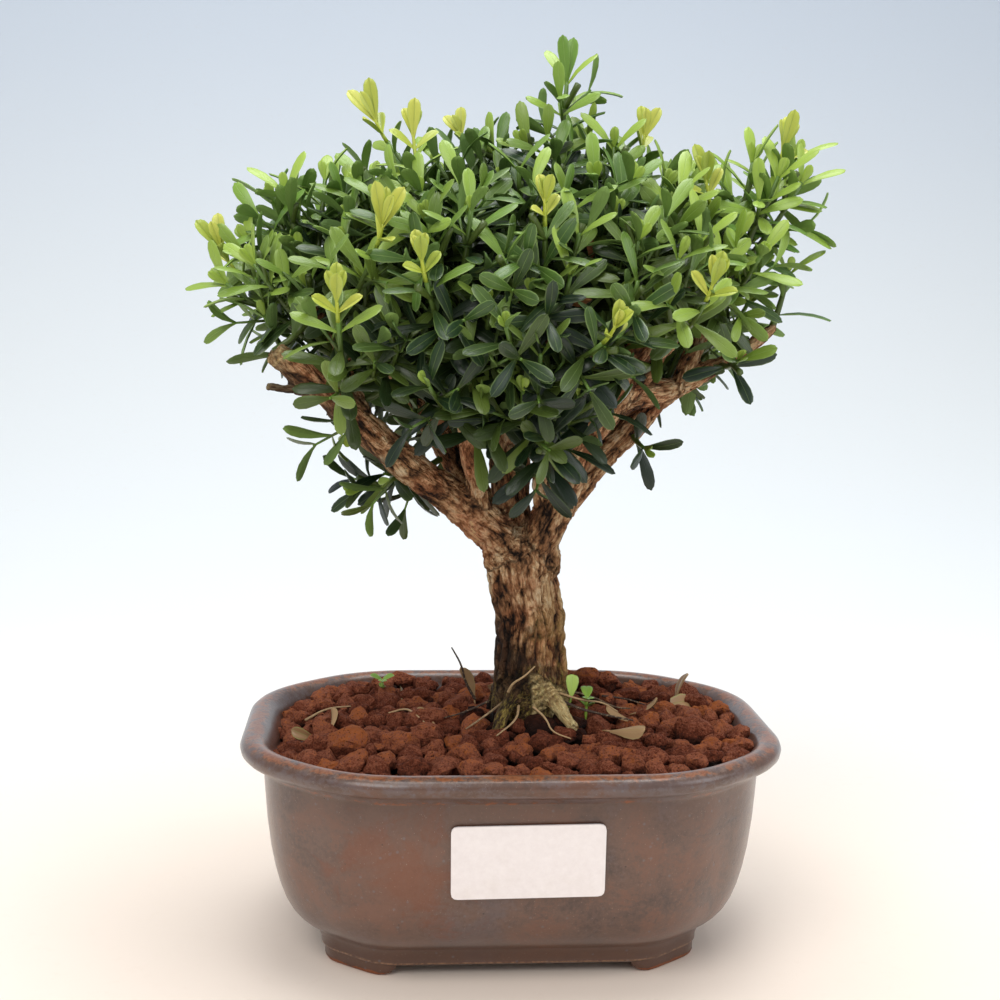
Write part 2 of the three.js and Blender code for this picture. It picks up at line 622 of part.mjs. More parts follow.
function sprayShape({ stem, twigs, leaves, first, fresh }, wood) {
  let shape = stemSolid(stem, fresh ? TWIG_RADIUS : STEM_RADIUS, fresh ? 1 : STEM_STEPS, Math.PI * first);
  if (!fresh) {
    const parts = shape.subtract(wood).decompose();
    shape = parts.reduce((a, b) => (a.volume() > b.volume() ? a : b));
  }
  for (const twig of twigs) shape = shape.add(stemSolid(twig, TWIG_RADIUS, 1, Math.PI * first));
  for (const leaf of leaves.map(placeLeaf)) {
    if (leaf) shape = shape.add(leafSolid(leaf));
  }
  return shape;
}

// Soil

function soilHeight(x, y) {
  const [heapX, heapY] = SOIL_HEAP_PLACE;
  const fromTrunk = Math.hypot(x - heapX, y - heapY) / SOIL_HEAP_RADIUS;
  const drop = THREE.MathUtils.smoothstep(-x, 38, 66) * SOIL_LEFT_DROP;
  return SOIL_EDGE_Z + SOIL_HEAP * Math.exp(-fromTrunk * fromTrunk) - drop;
}

// Grains stand up as six-sided lumps: every third corner of a triangle lattice is raised.
function soilRelief() {
  const rise = GRAIN_STEP * Math.sqrt(3) / 2;
  const columns = Math.ceil(POT_WIDTH / GRAIN_STEP);
  const rows = Math.ceil(POT_DEPTH / rise);
  const corners = [];
  for (let j = 0; j <= rows; j++) {
    for (let i = 0; i <= columns; i++) {
      const peak = (((i - Math.floor(j / 2) - j) % 3) + 3) % 3 === 0;
      const x = (i + (j % 2) / 2 - columns / 2) * GRAIN_STEP + (draw(i, j, 1) - 0.5) * GRAIN_SHIFT;
      const y = (j - rows / 2) * rise + (draw(i, j, 2) - 0.5) * GRAIN_SHIFT;
      const lift = peak ? GRAIN_RISE * (0.6 + 0.8 * draw(i, j, 3)) : -0.5 * draw(i, j, 4);
      corners.push(new THREE.Vector3(x, y, soilHeight(x, y) + lift));
    }
  }
  const count = corners.length;
  corners.push(...corners.map((p) => new THREE.Vector3(p.x, p.y, 0)));
  const at = (i, j) => j * (columns + 1) + i;
  const faces = [];
  for (let j = 0; j < rows; j++) {
    for (let i = 0; i < columns; i++) {
      const [a, b, c, d] = [at(i, j), at(i + 1, j), at(i + 1, j + 1), at(i, j + 1)];
      faces.push(...(j % 2 ? [[a, b, c], [a, c, d]] : [[a, b, d], [b, c, d]]));
    }
  }
  faces.push(...faces.map((face) => face.map((v) => v + count).reverse()));
  const edge = [];
  for (let i = 0; i < columns; i++) edge.push(at(i, 0));
  for (let j = 0; j < rows; j++) edge.push(at(columns, j));
  for (let i = columns; i > 0; i--) edge.push(at(i, rows));
  for (let j = rows; j > 0; j--) edge.push(at(0, j));
  edge.forEach((a, k) => {
    const b = edge[(k + 1) % edge.length];
    faces.push([a, a + count, b + count, b]);
  });
  return solid(polyhedron(corners, faces));
}

function soilShape(buried) {
  const inside = [...INNER_PROFILE].reverse().map(([z, inset]) => [z, inset + FIT]);
  inside[0][0] += FIT;
  inside.push([SOIL_EDGE_Z + 20, inside[inside.length - 1][1] + FIT]);
  let shape = solid(loft(inside.map(potRing))).intersect(soilRelief());
  for (const tool of buried) shape = shape.subtract(tool);
  const parts = shape.decompose();
  return parts.reduce((a, b) => (a.volume() > b.volume() ? a : b));
}

// Small things on the soil

// A seedling: a thin stem in a plain hole, with a few leaves at its top.
function seedling([x, y], height, leafLength, count, turn) {
  const low = soilHeight(x, y) - SEEDLING_ROOT;
  const top = new THREE.Vector3(x + 1, y - 1, low + SEEDLING_ROOT + height);
  const stem = new THREE.LineCurve3(new THREE.Vector3(x, y, low), top);
  const build = (grow) => solid(tube(stem, SEEDLING_RADIUS, 3, 1, grow));
  let shape = build(0);
  for (let i = 0; i < count; i++) {
    const a = turn + (2 * Math.PI * i) / count;
    const pose = [0.94, a, radians(SEEDLING_ANGLE), leafLength, leafLength * SEEDLING_BROAD];
    shape = shape.add(leafSolid(leafPose(stem, ...pose)));
  }
  return { shape, tool: build(HOLE_FIT) };
}

// A dead leaf that lies in the grains.
function fallenLeaf([x, y], heading, length) {
  const z = soilHeight(x, y) + FALLEN_RISE;
  const a = radians(heading);
  const out = new THREE.Vector3(Math.cos(a), Math.sin(a), FALLEN_TILT).normalize();
  const up = new THREE.Vector3(0, 0, 1).addScaledVector(out, -out.z).normalize();
  const flank = out.clone().cross(up);
  const leaf = { root: new THREE.Vector3(x, y, z), out, up, flank, length, width: LEAF_WIDTH };
  return { shape: leafSolid(leaf), tool: leafSolid(leaf, POCKET) };
}

const LITTER = {
  seedling_back: seedling([-37, 28], 7, 4.2, 3, 0.4),
  seedling_trunk: seedling([21, -3], 7, 6.5, 3, 1.2),
  fallen_leaf_front: fallenLeaf([27, -16], -38, 12),
  fallen_leaf_right: fallenLeaf([46, 12], 25, 13),
};

// Assembly

const bonsai = new THREE.Group();
const wood = woodShape(0);
const woodSpace = woodShape(HOLE_FIT);
const buried = [woodSpace, screenPanel(-1, FIT), screenPanel(1, FIT)];
buried.push(...Object.values(LITTER).map(({ tool }) => tool));

bonsai.add(meshOf("pot", potShape(), material(COLOURS.pot, 0.35)));
bonsai.add(labelMesh());
bonsai.add(meshOf("drain_screen_left", screenPanel(-1, 0), material(COLOURS.screen, 0.6)));
bonsai.add(meshOf("drain_screen_right", screenPanel(1, 0), material(COLOURS.screen, 0.6)));
bonsai.add(meshOf("soil", soilShape(buried), material(COLOURS.soil, 0.95)));
bonsai.add(meshOf("trunk", wood, material(COLOURS.wood, 0.9)));
for (const plan of plans) {
  bonsai.add(meshOf("spray_" + plan.spray.name, sprayShape(plan, woodSpace), material(COLOURS.leaf, 0.45)));
}
for (const plan of freshPlans) {
  bonsai.add(meshOf("fresh_" + plan.spray.name, sprayShape(plan), material(COLOURS.fresh, 0.45)));
}
for (const [name, { shape }] of Object.entries(LITTER)) {
  const colour = name.startsWith("seedling") ? COLOURS.seedling : COLOURS.fallen;
  bonsai.add(meshOf(name, shape, material(colour, 0.6)));
}

bonsai.updateMatrixWorld(true);
const bounds = new THREE.Box3().setFromObject(bonsai, true);
bonsai.position.set(-(bounds.min.x + bounds.max.x) / 2, -(bounds.min.y + bounds.max.y) / 2, -bounds.min.z);

export default bonsai;
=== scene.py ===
"""Looks for a harland boxwood bonsai in a glazed pot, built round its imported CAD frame.

The file is laid out as a Blender add-on and run as a script. Lengths in it are millimetres from the
pot's middle, just above its feet, with the label towards -Y. object_of() takes a built piece into
metres.
"""
import math

import bmesh
import bpy
from bpy.props import FloatProperty, FloatVectorProperty, IntProperty, PointerProperty
from mathutils import Matrix, Vector, kdtree, noise


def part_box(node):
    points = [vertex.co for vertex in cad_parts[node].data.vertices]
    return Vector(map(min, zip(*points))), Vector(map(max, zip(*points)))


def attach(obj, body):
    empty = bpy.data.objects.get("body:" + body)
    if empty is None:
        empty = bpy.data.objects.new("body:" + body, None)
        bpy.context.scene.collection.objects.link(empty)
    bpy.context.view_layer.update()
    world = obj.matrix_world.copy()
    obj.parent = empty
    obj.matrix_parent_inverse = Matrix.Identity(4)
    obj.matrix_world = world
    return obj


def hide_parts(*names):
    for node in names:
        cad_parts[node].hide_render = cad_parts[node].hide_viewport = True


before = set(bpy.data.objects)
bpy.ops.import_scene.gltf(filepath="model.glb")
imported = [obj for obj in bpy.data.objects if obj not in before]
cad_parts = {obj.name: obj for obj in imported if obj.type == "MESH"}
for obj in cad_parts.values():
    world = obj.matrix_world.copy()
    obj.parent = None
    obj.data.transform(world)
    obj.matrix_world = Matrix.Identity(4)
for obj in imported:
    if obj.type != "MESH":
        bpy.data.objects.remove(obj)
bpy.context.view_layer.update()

bl_info = {
    "name": "Boxwood Bonsai",
    "version": (1, 0, 0),
    "blender": (4, 5, 0),
    "location": "View3D > Sidebar > Bonsai",
    "description": "Builds a small boxwood bonsai with its glazed pot, lava grains and bark",
    "category": "Add Mesh",
}

noise.seed_set(1)  # unseeded, noise_vector would be different in each run

pot_low, pot_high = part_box("pot")
FEET_Z = -1.3
POT_MIDDLE = Vector((
    (pot_low.x + pot_high.x) / 2, (pot_low.y + pot_high.y) / 2, pot_low.z - FEET_Z / 1000))
TO_FRAME = Matrix.Translation(POT_MIDDLE) @ Matrix.Scale(0.001, 4)
POT_WIDTH = (pot_high.x - pot_low.x) * 1000
POT_DEPTH = (pot_high.y - pot_low.y) * 1000
CHAMFER = (29.5, 26.5)  # what the rim's chamfers take off its sides, along X and along Y
CHAMFER_SHRINK = 0.62  # what a chamfer loses for each millimetre of inset
CORNER_ROUND = 17
ROUND_SHRINK = 0.5

# Height and inset from the rim, up the outside of the pot, over the lip and down the inside.
POT_WALL = [
    (1.9, 23.4), (1.95, 22.6), (2.3, 22.2), (2.8, 22.15), (3.3, 22.3), (5.6, 21.5), (6.7, 21.0),
    (7.4, 20.3), (8.1, 19.2), (9.2, 17.5), (10.8, 15.7), (13, 13.8), (16, 12.1), (20, 10.6),
    (24, 9.5), (30, 8.3), (38, 7.3), (46, 6.7), (51.2, 6.4), (52.0, 6.2), (52.5, 5.5), (53.3, 5.1),
    (53.9, 4.4), (54.3, 2.8), (55.0, 1.3),
    (56.1, 0.3), (57.5, 0.0), (58.7, 0.45), (59.6, 1.5), (60.1, 2.9), (60.1, 4.4), (59.5, 6.0),
    (58.2, 7.4), (56, 8.7), (50, 11.0), (42, 12.7), (30, 15.0), (18, 17.5), (12.5, 20.4), (9.9, 23.0),
    (9, 25.5),
]
FOOT_MIDDLE = 26.9  # inset of a foot's middle line
FOOT_GAP = (23.2, 11.0)  # half the gaps between the feet, along X and along Y
FOOT_TOP = 2.4
FOOT_HALF = 4.5  # half a foot's thickness
# A foot's cross-section: share of its half thickness, and height.
FOOT_SECTION = [(-1, FOOT_TOP), (-1, -0.2), (-0.82, -1.0), (-0.6, FEET_Z), (0.74, FEET_Z), (0.9, -1.05),
                (0.97, -0.5), (0.97, FOOT_TOP)]
THIN_GLAZE = (-31, -52, 33)  # the middle of the rusty patch, where the glaze is thin
BEAD_Z = 52.3  # the small step under the lip
FOOT_LINE_Z = 2.5  # the pale line where the feet meet the plinth
DRAIN_X = 24.0
DRAIN_RADIUS = 5.0
SHARP = 1.0  # the angle, in radians, from which the pot's edges are drawn sharp

# Trunk: x, height and radius of each ring.
TRUNK_RINGS = [
    (5, 42, 6), (5.3, 54, 8.5), (5.5, 61.5, 11), (5.4, 66, 10.5), (5.2, 73, 9.6), (4.7, 90, 9.1),
    (2.9, 100, 9.5), (2.1, 107, 10.4), (1.8, 112, 9.2), (1.8, 117, 5.4),
]

# Branches and roots: the points of each centreline, and its radius at the start and the end.
BRANCHES = {
    "left_arm": ([(0, -1, 109), (-13, -6, 121), (-30, -14, 134), (-47, -22, 150), (-64, -27, 164)], 6, 3.2),
    "left_rise": ([(-38, -18, 141), (-47, -16, 160), (-55, -12, 179)], 2.5, 1.6),
    "left_cut_twig": ([(-52, -24, 154), (-59, -26, 154), (-66, -28, 155)], 1.5, 1.1),
    "left_back": ([(-1, 4, 109), (-14, 15, 130), (-28, 23, 150), (-42, 26, 170), (-50, 24, 185)], 4.6, 1.8),
    "left_front": ([(-8, -4, 117), (-13, -16, 139), (-17, -26, 160), (-21, -30, 177)], 3, 1.6),
    "leader": ([(2, 1, 110), (-3, 5, 140), (0, 5, 170), (8, 4, 194), (12, 3, 210)], 4.8, 1.7),
    "middle_front": ([(9, -4, 118), (6, -16, 138), (4, -26, 158), (5, -31, 176)], 3, 1.5),
    "middle_stub": ([(14, -9, 133), (12, -7, 146), (12, -4, 157)], 3.6, 3),
    "right_up": ([(6, -3, 108), (14, -8, 129), (20, -8, 143), (30, -5, 151), (44, 1, 154)], 5.4, 3.2),
    "right_stub": ([(20, -8, 143), (28, -10, 156), (36, -10, 171)], 4.4, 3.8),
    "right_low": (
        [(5, 2, 104), (17.5, 4, 125), (32, 5, 141), (45, 2, 154), (62, -2, 164), (72, -4, 172)], 5, 1.5),
    "right_rise": ([(46, 1, 155), (53, 0, 172), (58, -4, 188)], 2.6, 1.5),
    "right_front": ([(30, -4, 151), (35, -17, 160), (39, -28, 169)], 2.6, 1.5),
    "right_top": ([(18, -5, 141), (21, 3, 168), (27, 4, 192)], 3, 1.6),
    "back_right": ([(7, 4, 110), (20, 18, 130), (33, 26, 152), (41, 28, 173)], 4.4, 1.8),
    "back_middle": ([(2, 4, 112), (3, 19, 136), (-1, 31, 158), (-2, 37, 177)], 3.8, 1.7),
    "root_cut": ([(9, -5, 70), (13, -12, 66), (16.5, -19, 62)], 2.6, 1.8),
    "root_left": ([(2, -5, 69), (-2, -12, 65), (-5, -18, 60)], 2.6, 1.4),
    "root_back": ([(9, 7, 68), (15, 14, 64), (20, 20, 58.5)], 2.8, 1.5),
}
CUT_ENDS = ("left_arm", "left_cut_twig", "middle_stub", "right_stub", "root_cut")

# Leafy sprays: the branch that each grows on, where along it, where its stem ends, and the leaf
# length of the lime shoot at its end, or 0.
SPRAYS = {
    "crown": ("leader", 1, (13, 2, 237), 0),
    "top_left": ("leader", 0.62, (-35.5, 4, 220), 14),
    "top_left_front": ("left_front", 0.97, (-28, -14, 214), 12),
    "top_middle": ("leader", 0.8, (-12, 12, 218), 9),
    "top_right": ("right_top", 0.8, (18, -24, 209), 0),
    "top_right_back": ("right_top", 1, (34, 4, 217), 12),
    "front_lead": ("left_front", 0.8, (-15, -46, 200), 0),
    "front_middle": ("middle_front", 1, (3, -45, 196), 9),
    "front_right": ("middle_front", 0.72, (17, -52, 168), 9),
    "front": ("middle_front", 0.55, (-7, -55, 172), 0),
    "front_left": ("left_front", 0.7, (-26, -52, 182), 10),
    "front_low_left": ("left_front", 0.45, (-25, -46, 157), 0),
    "front_low": ("middle_front", 0.25, (5, -42, 144), 0),
    "left_front_high": ("left_rise", 0.72, (-38, -43, 190), 15),
    "left_front_low": ("left_arm", 0.72, (-47, -48, 172), 12),
    "left_end": ("left_rise", 0.55, (-75, -14, 184.5), 12),
    "left_high": ("left_rise", 1, (-66, -2, 203), 0),
    "left_low": ("left_arm", 0.9, (-67, -19, 173), 0),
    "left_under": ("left_back", 0.3, (-42, 4, 125), 0),
    "right_high": ("right_rise", 1, (50, -15, 204), 12),
    "right_horn": ("right_rise", 0.8, (71, -1, 214), 13),
    "right_middle": ("right_rise", 0.55, (62, -25, 191), 0),
    "right_out": ("right_low", 0.97, (75, -4, 187), 0),
    "right_front": ("right_front", 1, (43, -46, 178), 12),
    "right_low": ("right_low", 0.74, (58.5, -18, 163), 0),
    "right_under": ("right_low", 0.42, (36, -5, 138), 0),
    "back_top_left": ("left_back", 0.95, (-40, 32, 212), 0),
    "back_top_right": ("back_right", 1, (24, 33, 212), 0),
    "back_left": ("left_back", 0.8, (-66, 33, 190), 0),
    "back_left_low": ("left_back", 0.5, (-54, 36, 159), 0),
    "back_middle_left": ("back_middle", 0.9, (-22, 56, 190), 0),
    "back_middle_right": ("back_middle", 0.78, (16, 57, 186), 0),
    "back_low": ("back_middle", 0.5, (-14, 52, 154), 0),
    "back_low_right": ("back_right", 0.45, (26, 50, 152), 0),
    "back_right": ("back_right", 0.9, (54, 40, 189), 0),
    "back_right_low": ("back_right", 0.7, (60, 32, 163), 0),
}
REGIONS = ("top", "front", "left", "right", "back")
CROWN_MIDDLE = Vector((1, 0, 168))
WINDOW = Vector((0, -1, 0.35))  # where the light comes from that young leaves turn to

LEAF_ANGLES = (26, 48, 60, 64, 68, 70)  # degrees off the stem, from the end pair down
PAIR_STEP = 5.2
LEAF_LENGTH, LEAF_WIDTH = 14.4, 3.95
CROWN_BUD = 13  # length of the two leaves at the tip of the crown
TWIG_ANGLE = math.radians(48)
TURN = 6.28  # near enough a full turn, for drawn headings

# Layers of filling sprays: share of the crown's reach, and the least distance between two tips.
LAYERS = ((0.88, 10), (0.7, 11), (0.5, 12.5))
GOLDEN_ANGLE = 2.39996  # from each spray of a layer to the next, in radians

# How young the leaves of some sprays are, from 0 to 1.
YOUNG = {"right_horn": 0.5, "right_front": 0.5, "left_front_high": 0.3, "left_end": 0.3, "top_left": 0.35,
         "top_left_front": 0.3, "left_front_low": 0.35, "right_high": 0.4, "crown": 0.25,
         "right_middle": 0.35, "right_out": 0.3, "top_right_back": 0.3}

# More sprays, which shape the crown's edge: branch, where along it, and where the stem ends.
OUTER_SPRAYS = [("right_rise", 0.95, (63, -7, 216)), ("right_rise", 1, (58, 6, 210)),
                ("right_rise", 0.85, (77, -6, 211)), ("right_rise", 0.9, (69, -12, 212)),
                ("right_rise", 0.95, (76, -2, 218)), ("left_rise", 0.7, (-77, -18, 181)),
                ("left_rise", 0.6, (-69, -26, 186)), ("left_rise", 0.9, (-72, -8, 192)),
                ("left_rise", 1, (-62, -10, 205)), ("left_rise", 1, (-52, -4, 209)),
                ("left_arm", 0.72, (-46, -16, 142)), ("left_arm", 0.5, (-34, -8, 129)),
                ("right_top", 0.95, (19, 2, 220)), ("right_top", 1, (25, -8, 219)),
                ("leader", 1, (2, -4, 219)), ("leader", 0.95, (-7, 4, 218))]


# Small helpers


def draw(*keys):
    """A repeatable number from 0 to 1 for any set of whole numbers."""
    h = 2166136261
    for key in keys:
        h = ((h ^ (key + 374761393)) * 16777619) & 0xFFFFFFFF
        h ^= h >> 15
        h = (h * 2246822519) & 0xFFFFFFFF
        h ^= h >> 13
    return h / 4294967296


def sway(reach, *keys):
    """A repeatable number, at most half the reach from 0."""
    return reach * (draw(*keys) - 0.5)


def ease(low, high, value):
    """0 at low, 1 at high, a smooth step between and level beyond."""
    t = min(max((value - low) / (high - low), 0), 1)
    return t * t * (3 - 2 * t)


def paint(red, green, blue):
    """A linear colour from a screen's red, green and blue, each up to 255."""
    return tuple(((c / 255 + 0.055) / 1.055) ** 2.4 for c in (red, green, blue))


def shaded(colour, share):
    """A colour made darker or lighter."""
    return tuple(c * share for c in colour)


def on_ball(a, z):
    """The direction at an angle round from +X, at a height on a ball of radius 1."""
    level = math.sqrt(1 - z * z)
    return Vector((level * math.cos(a), level * math.sin(a), z))


def soil_height(x, y):
    """The height of the grains' middle layer: heaped at the trunk and lower at the left end."""
    from_trunk = math.hypot(x - 7, y - 2) / 20
    return 57 + 5.2 * math.exp(-from_trunk * from_trunk) - 2.6 * ease(38, 66, -x)


def bend(start, middle, end, t):
    """A point of the quadratic curve that a middle point pulls."""
    return start * (1 - t) ** 2 + middle * 2 * t * (1 - t) + end * t * t


class Stem:
    """A stem's line, bent by its middle point."""

    def __init__(self, start, middle, end):
        self.start, self.middle, self.end = Vector(start), Vector(middle), Vector(end)
        steps = [self.point(i / 32) for i in range(33)]
        self.length = sum((b - a).length for a, b in zip(steps, steps[1:]))

    def point(self, t):
        return bend(self.start, self.middle, self.end, t)

    def tangent(self, t):
        slope = (self.middle - self.start) * (1 - t) + (self.end - self.middle) * t
        return slope.normalized()


def branch_point(name, at):
    """A point on a branch's smooth centreline, at a share of its points."""
    points = [Vector(p) for p in BRANCHES[name][0]]
    last = len(points) - 1
    i = min(int(at * last), last - 1)
    t = at * last - i
    a, b = points[i], points[i + 1]
    before = points[i - 1] if i else 2 * a - b
    after = points[i + 2] if i + 2 <= last else 2 * b - a
    start, end = (b - before) / 2, (after - a) / 2
    return (a + start * t + (3 * (b - a) - 2 * start - end) * t * t
            + (2 * (a - b) + start + end) * t ** 3)


def across(tangent, turn):
    """The direction square to a stem, turned about it from level."""
    side = Vector((0, 0, 1)).cross(tangent).normalized()
    return side * math.cos(turn) + tangent.cross(side) * math.sin(turn)


def off_stem(tangent, turn, angle):
    """The direction at an angle off a stem, turned about it."""
    return tangent * math.cos(angle) + across(tangent, turn) * math.sin(angle)


def ahead_at(points, i):
    """The direction of a line of points at one of them."""
    return (points[min(i + 1, len(points) - 1)] - points[max(i - 1, 0)]).normalized()


def steady_frames(points):
    """Two directions square to a line at each of its points, which turn as little as they can."""
    frames = []
    side = None
    for i in range(len(points)):
        ahead = ahead_at(points, i)
        if side is None:
            side = ahead.orthogonal()
        side = (side - ahead * side.dot(ahead)).normalized()
        frames.append((side, ahead.cross(side), ahead))
    return frames


def ring_edges(bm, ring):
    return [bm.edges.get((a, b)) for a, b in zip(ring, ring[1:] + ring[:1])]


def loft(bm, rings):
    """A closed skin through rings of points: a circle, extruded from ring to ring and shaped."""
    ring = bmesh.ops.create_circle(bm, segments=len(rings[0]), radius=1)["verts"]
    for vert, point in zip(ring, rings[0]):
        vert.co = point
    made = list(ring)
    bmesh.ops.contextual_create(bm, geom=ring)
    for points in rings[1:]:
        place = {vert: i for i, vert in enumerate(ring)}
        grown = bmesh.ops.extrude_edge_only(bm, edges=ring_edges(bm, ring))["geom"]
        following = [None] * len(ring)
        for vert in grown:
            if isinstance(vert, bmesh.types.BMVert):
                below = next(e.other_vert(vert) for e in vert.link_edges if e.other_vert(vert) in place)
                following[place[below]] = vert
                vert.co = points[place[below]]
        ring = following
        made += ring
    bmesh.ops.contextual_create(bm, geom=ring)
    faces = list({face for vert in made for face in vert.link_faces})
    bmesh.ops.recalc_face_normals(bm, faces=faces)
    return made, faces


def tube(bm, points, radii, sides):
    """A round stem along a line of points, with a radius at each."""
    rings = []
    for point, radius, (side, other, _) in zip(points, radii, steady_frames(points)):
        turns = [2 * math.pi * i / sides for i in range(sides)]
        rings.append([point + (side * math.cos(a) + other * math.sin(a)) * radius for a in turns])
    return loft(bm, rings)


def rod(bm, points, radius):
    """A thin root or twig that narrows to its end."""
    smooth = [Vector(p) for p in points]
    for _ in range(2):
        cut = [smooth[0]]
        for a, b in zip(smooth, smooth[1:]):
            cut += [a.lerp(b, 0.25), a.lerp(b, 0.75)]
        smooth = cut + [smooth[-1]]
    radii = [radius * (1 - 0.6 * i / (len(smooth) - 1)) for i in range(len(smooth))]
    return tube(bm, smooth, radii, 5)


def mesh_of(bm, name):
    """The bmesh as a mesh."""
    mesh = bpy.data.meshes.new(name)
    bm.to_mesh(mesh)
    bm.free()
    return mesh


def stamp(bm, mesh):
    """Adds a mesh to the bmesh and returns its vertices."""
    first = len(bm.verts)
    bm.from_mesh(mesh)
    bm.verts.ensure_lookup_table()
    return bm.verts[first:]


def object_of(bm, name):
    """An object whose mesh is the bmesh, taken from millimetres to the frame."""
    bmesh.ops.transform(bm, matrix=TO_FRAME, verts=bm.verts)
    piece = bpy.data.objects.new(name, mesh_of(bm, name))
    bpy.context.scene.collection.objects.link(piece)
    return piece


def apply_modifiers(piece):
    """Takes the piece's modifiers into its mesh."""
    graph = bpy.context.evaluated_depsgraph_get()
    mesh = bpy.data.meshes.new_from_object(piece.evaluated_get(graph))
    piece.modifiers.clear()
    piece.data = mesh


def settle(piece, looks, nodes=(), smooth=True):
    """The piece gets its materials, rides on the frame and stands for its CAD nodes."""
    piece.data.materials.clear()
    for look in looks:
        piece.data.materials.append(look.material)
    piece.data.polygons.foreach_set("use_smooth", [smooth] * len(piece.data.polygons))
    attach(piece, "root")
    if nodes:
        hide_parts(*nodes)


# Materials


class Number:
    """A shader socket, to which Python's arithmetic adds Math nodes."""

    def __init__(self, look, socket):
        self.look, self.socket = look, socket

    def math(self, operation, *values):
        return self.look.number("ShaderNodeMath", {"operation": operation}, dict(enumerate(values)))

    def __add__(self, other):
        return self.math("ADD", self, other)

    def __sub__(self, other):
        return self.math("SUBTRACT", self, other)

    def __rsub__(self, other):
        return self.math("SUBTRACT", other, self)

    def __mul__(self, other):
        return self.math("MULTIPLY", self, other)

    def __abs__(self):
        return self.math("ABSOLUTE", self)

    def sine(self):
        return self.math("SINE", self)

    __radd__ = __add__


class Look:
    """A material, whose nodes are added by one method. Its patterns are measured in millimetres."""

    def __init__(self, name):
        self.material = bpy.data.materials.new(name)
        self.material.use_nodes = True
        self.tree = self.material.node_tree
        self.surface = self.tree.nodes["Principled BSDF"]
        coordinates = self.node("ShaderNodeTexCoord").outputs["Object"]
        settings = {"Location": tuple(-1000 * c for c in POT_MIDDLE), "Scale": (1000, 1000, 1000)}
        self.place = self.node("ShaderNodeMapping", {}, {"Vector": coordinates, **settings}).outputs[0]

    def node(self, kind, settings=None, inputs=None):
        """One node: its type, its settings, and a value or link for each of its sockets."""
        node = self.tree.nodes.new(kind)
        for name, value in (settings or {}).items():
            if name == "stops":
                for spare in list(node.color_ramp.elements)[1:]:
                    node.color_ramp.elements.remove(spare)
                for i, (position, colour) in enumerate(value):
                    stop = node.color_ramp.elements[0] if not i else node.color_ramp.elements.new(position)
                    stop.position = position
                    stop.color = (*colour, 1)
            else:
                setattr(node, name, value)
        for name, value in (inputs or {}).items():
            self.feed(node.inputs[name], value)
        return node

    def feed(self, socket, value):
        if isinstance(value, Number):
            value = value.socket
        if isinstance(value, bpy.types.NodeSocket):
            self.tree.links.new(value, socket)
        elif socket.type == "RGBA" and len(value) == 3:
            socket.default_value = (*value, 1)
        else:
            socket.default_value = value

    def set(self, **values):
        """Values or links for the surface's sockets, named with _ for a space."""
        for name, value in values.items():
            self.feed(self.surface.inputs[name.replace("_", " ")], value)

    def number(self, kind, settings, inputs, output=0):
        """One output of a new node, ready for arithmetic."""
        return Number(self, self.node(kind, settings, inputs).outputs[output])

    def noise(self, scale, detail=4, roughness=0.55, distortion=0, at=None):
        inputs = {"Vector": at or self.place, "Scale": scale, "Detail": detail,
                  "Roughness": roughness, "Distortion": distortion}
        return self.number("ShaderNodeTexNoise", {}, inputs, "Fac")

    def cells(self, scale, feature="F1", at=None, output="Distance"):
        """How far a point is from its cell's middle or edge, or with output Color a tone for each cell."""
        inputs = {"Vector": at or self.place, "Scale": scale}
        return self.number("ShaderNodeTexVoronoi", {"feature": feature}, inputs, output)

    def stretched(self, scale):
        """Coordinates scaled by a different amount along each axis."""
        return self.number("ShaderNodeMapping", {}, {"Vector": self.place, "Scale": scale})

    def warped(self, at, scale, reach):
        """Coordinates pushed about by a noise."""
        push = self.number("ShaderNodeTexNoise", {}, {"Vector": at, "Scale": scale, "Detail": 3}, "Color")
        return self.number("ShaderNodeVectorMath", {"operation": "MULTIPLY_ADD"},
                           {0: push, 1: (reach, reach, reach), 2: at})

    def position(self, axis):
        return self.number("ShaderNodeSeparateXYZ", {}, {"Vector": self.place}, axis)

    def distance(self, spot):
        """How far a point is from a spot."""
        return self.number("ShaderNodeVectorMath", {"operation": "DISTANCE"},
                           {0: self.place, 1: spot}, "Value")

    def attribute(self, name, output="Fac"):
        return self.number("ShaderNodeAttribute", {"attribute_name": name}, {}, output)

    def between(self, value, low, high):
        """0 at low, 1 at high, smooth between and level beyond."""
        inputs = {"Value": value, "From Min": low, "From Max": high}
        return self.number("ShaderNodeMapRange", {"interpolation_type": "SMOOTHSTEP"}, inputs, "Result")

    def ramp(self, value, *stops):
        return self.number("ShaderNodeValToRGB", {"stops": stops}, {"Fac": value}, "Color")

    def mix(self, share, first, second, blend="MIX"):
        settings = {"data_type": "RGBA", "blend_type": blend}
        return self.number("ShaderNodeMix", settings, {0: share, 6: first, 7: second}, 2)

    def bump(self, height, depth, strength=1.0):
        """Relief of a depth in millimetres."""
        inputs = {"Height": height, "Distance": depth / 1000, "Strength": strength}
        return self.number("ShaderNodeBump", {}, inputs, "Normal")


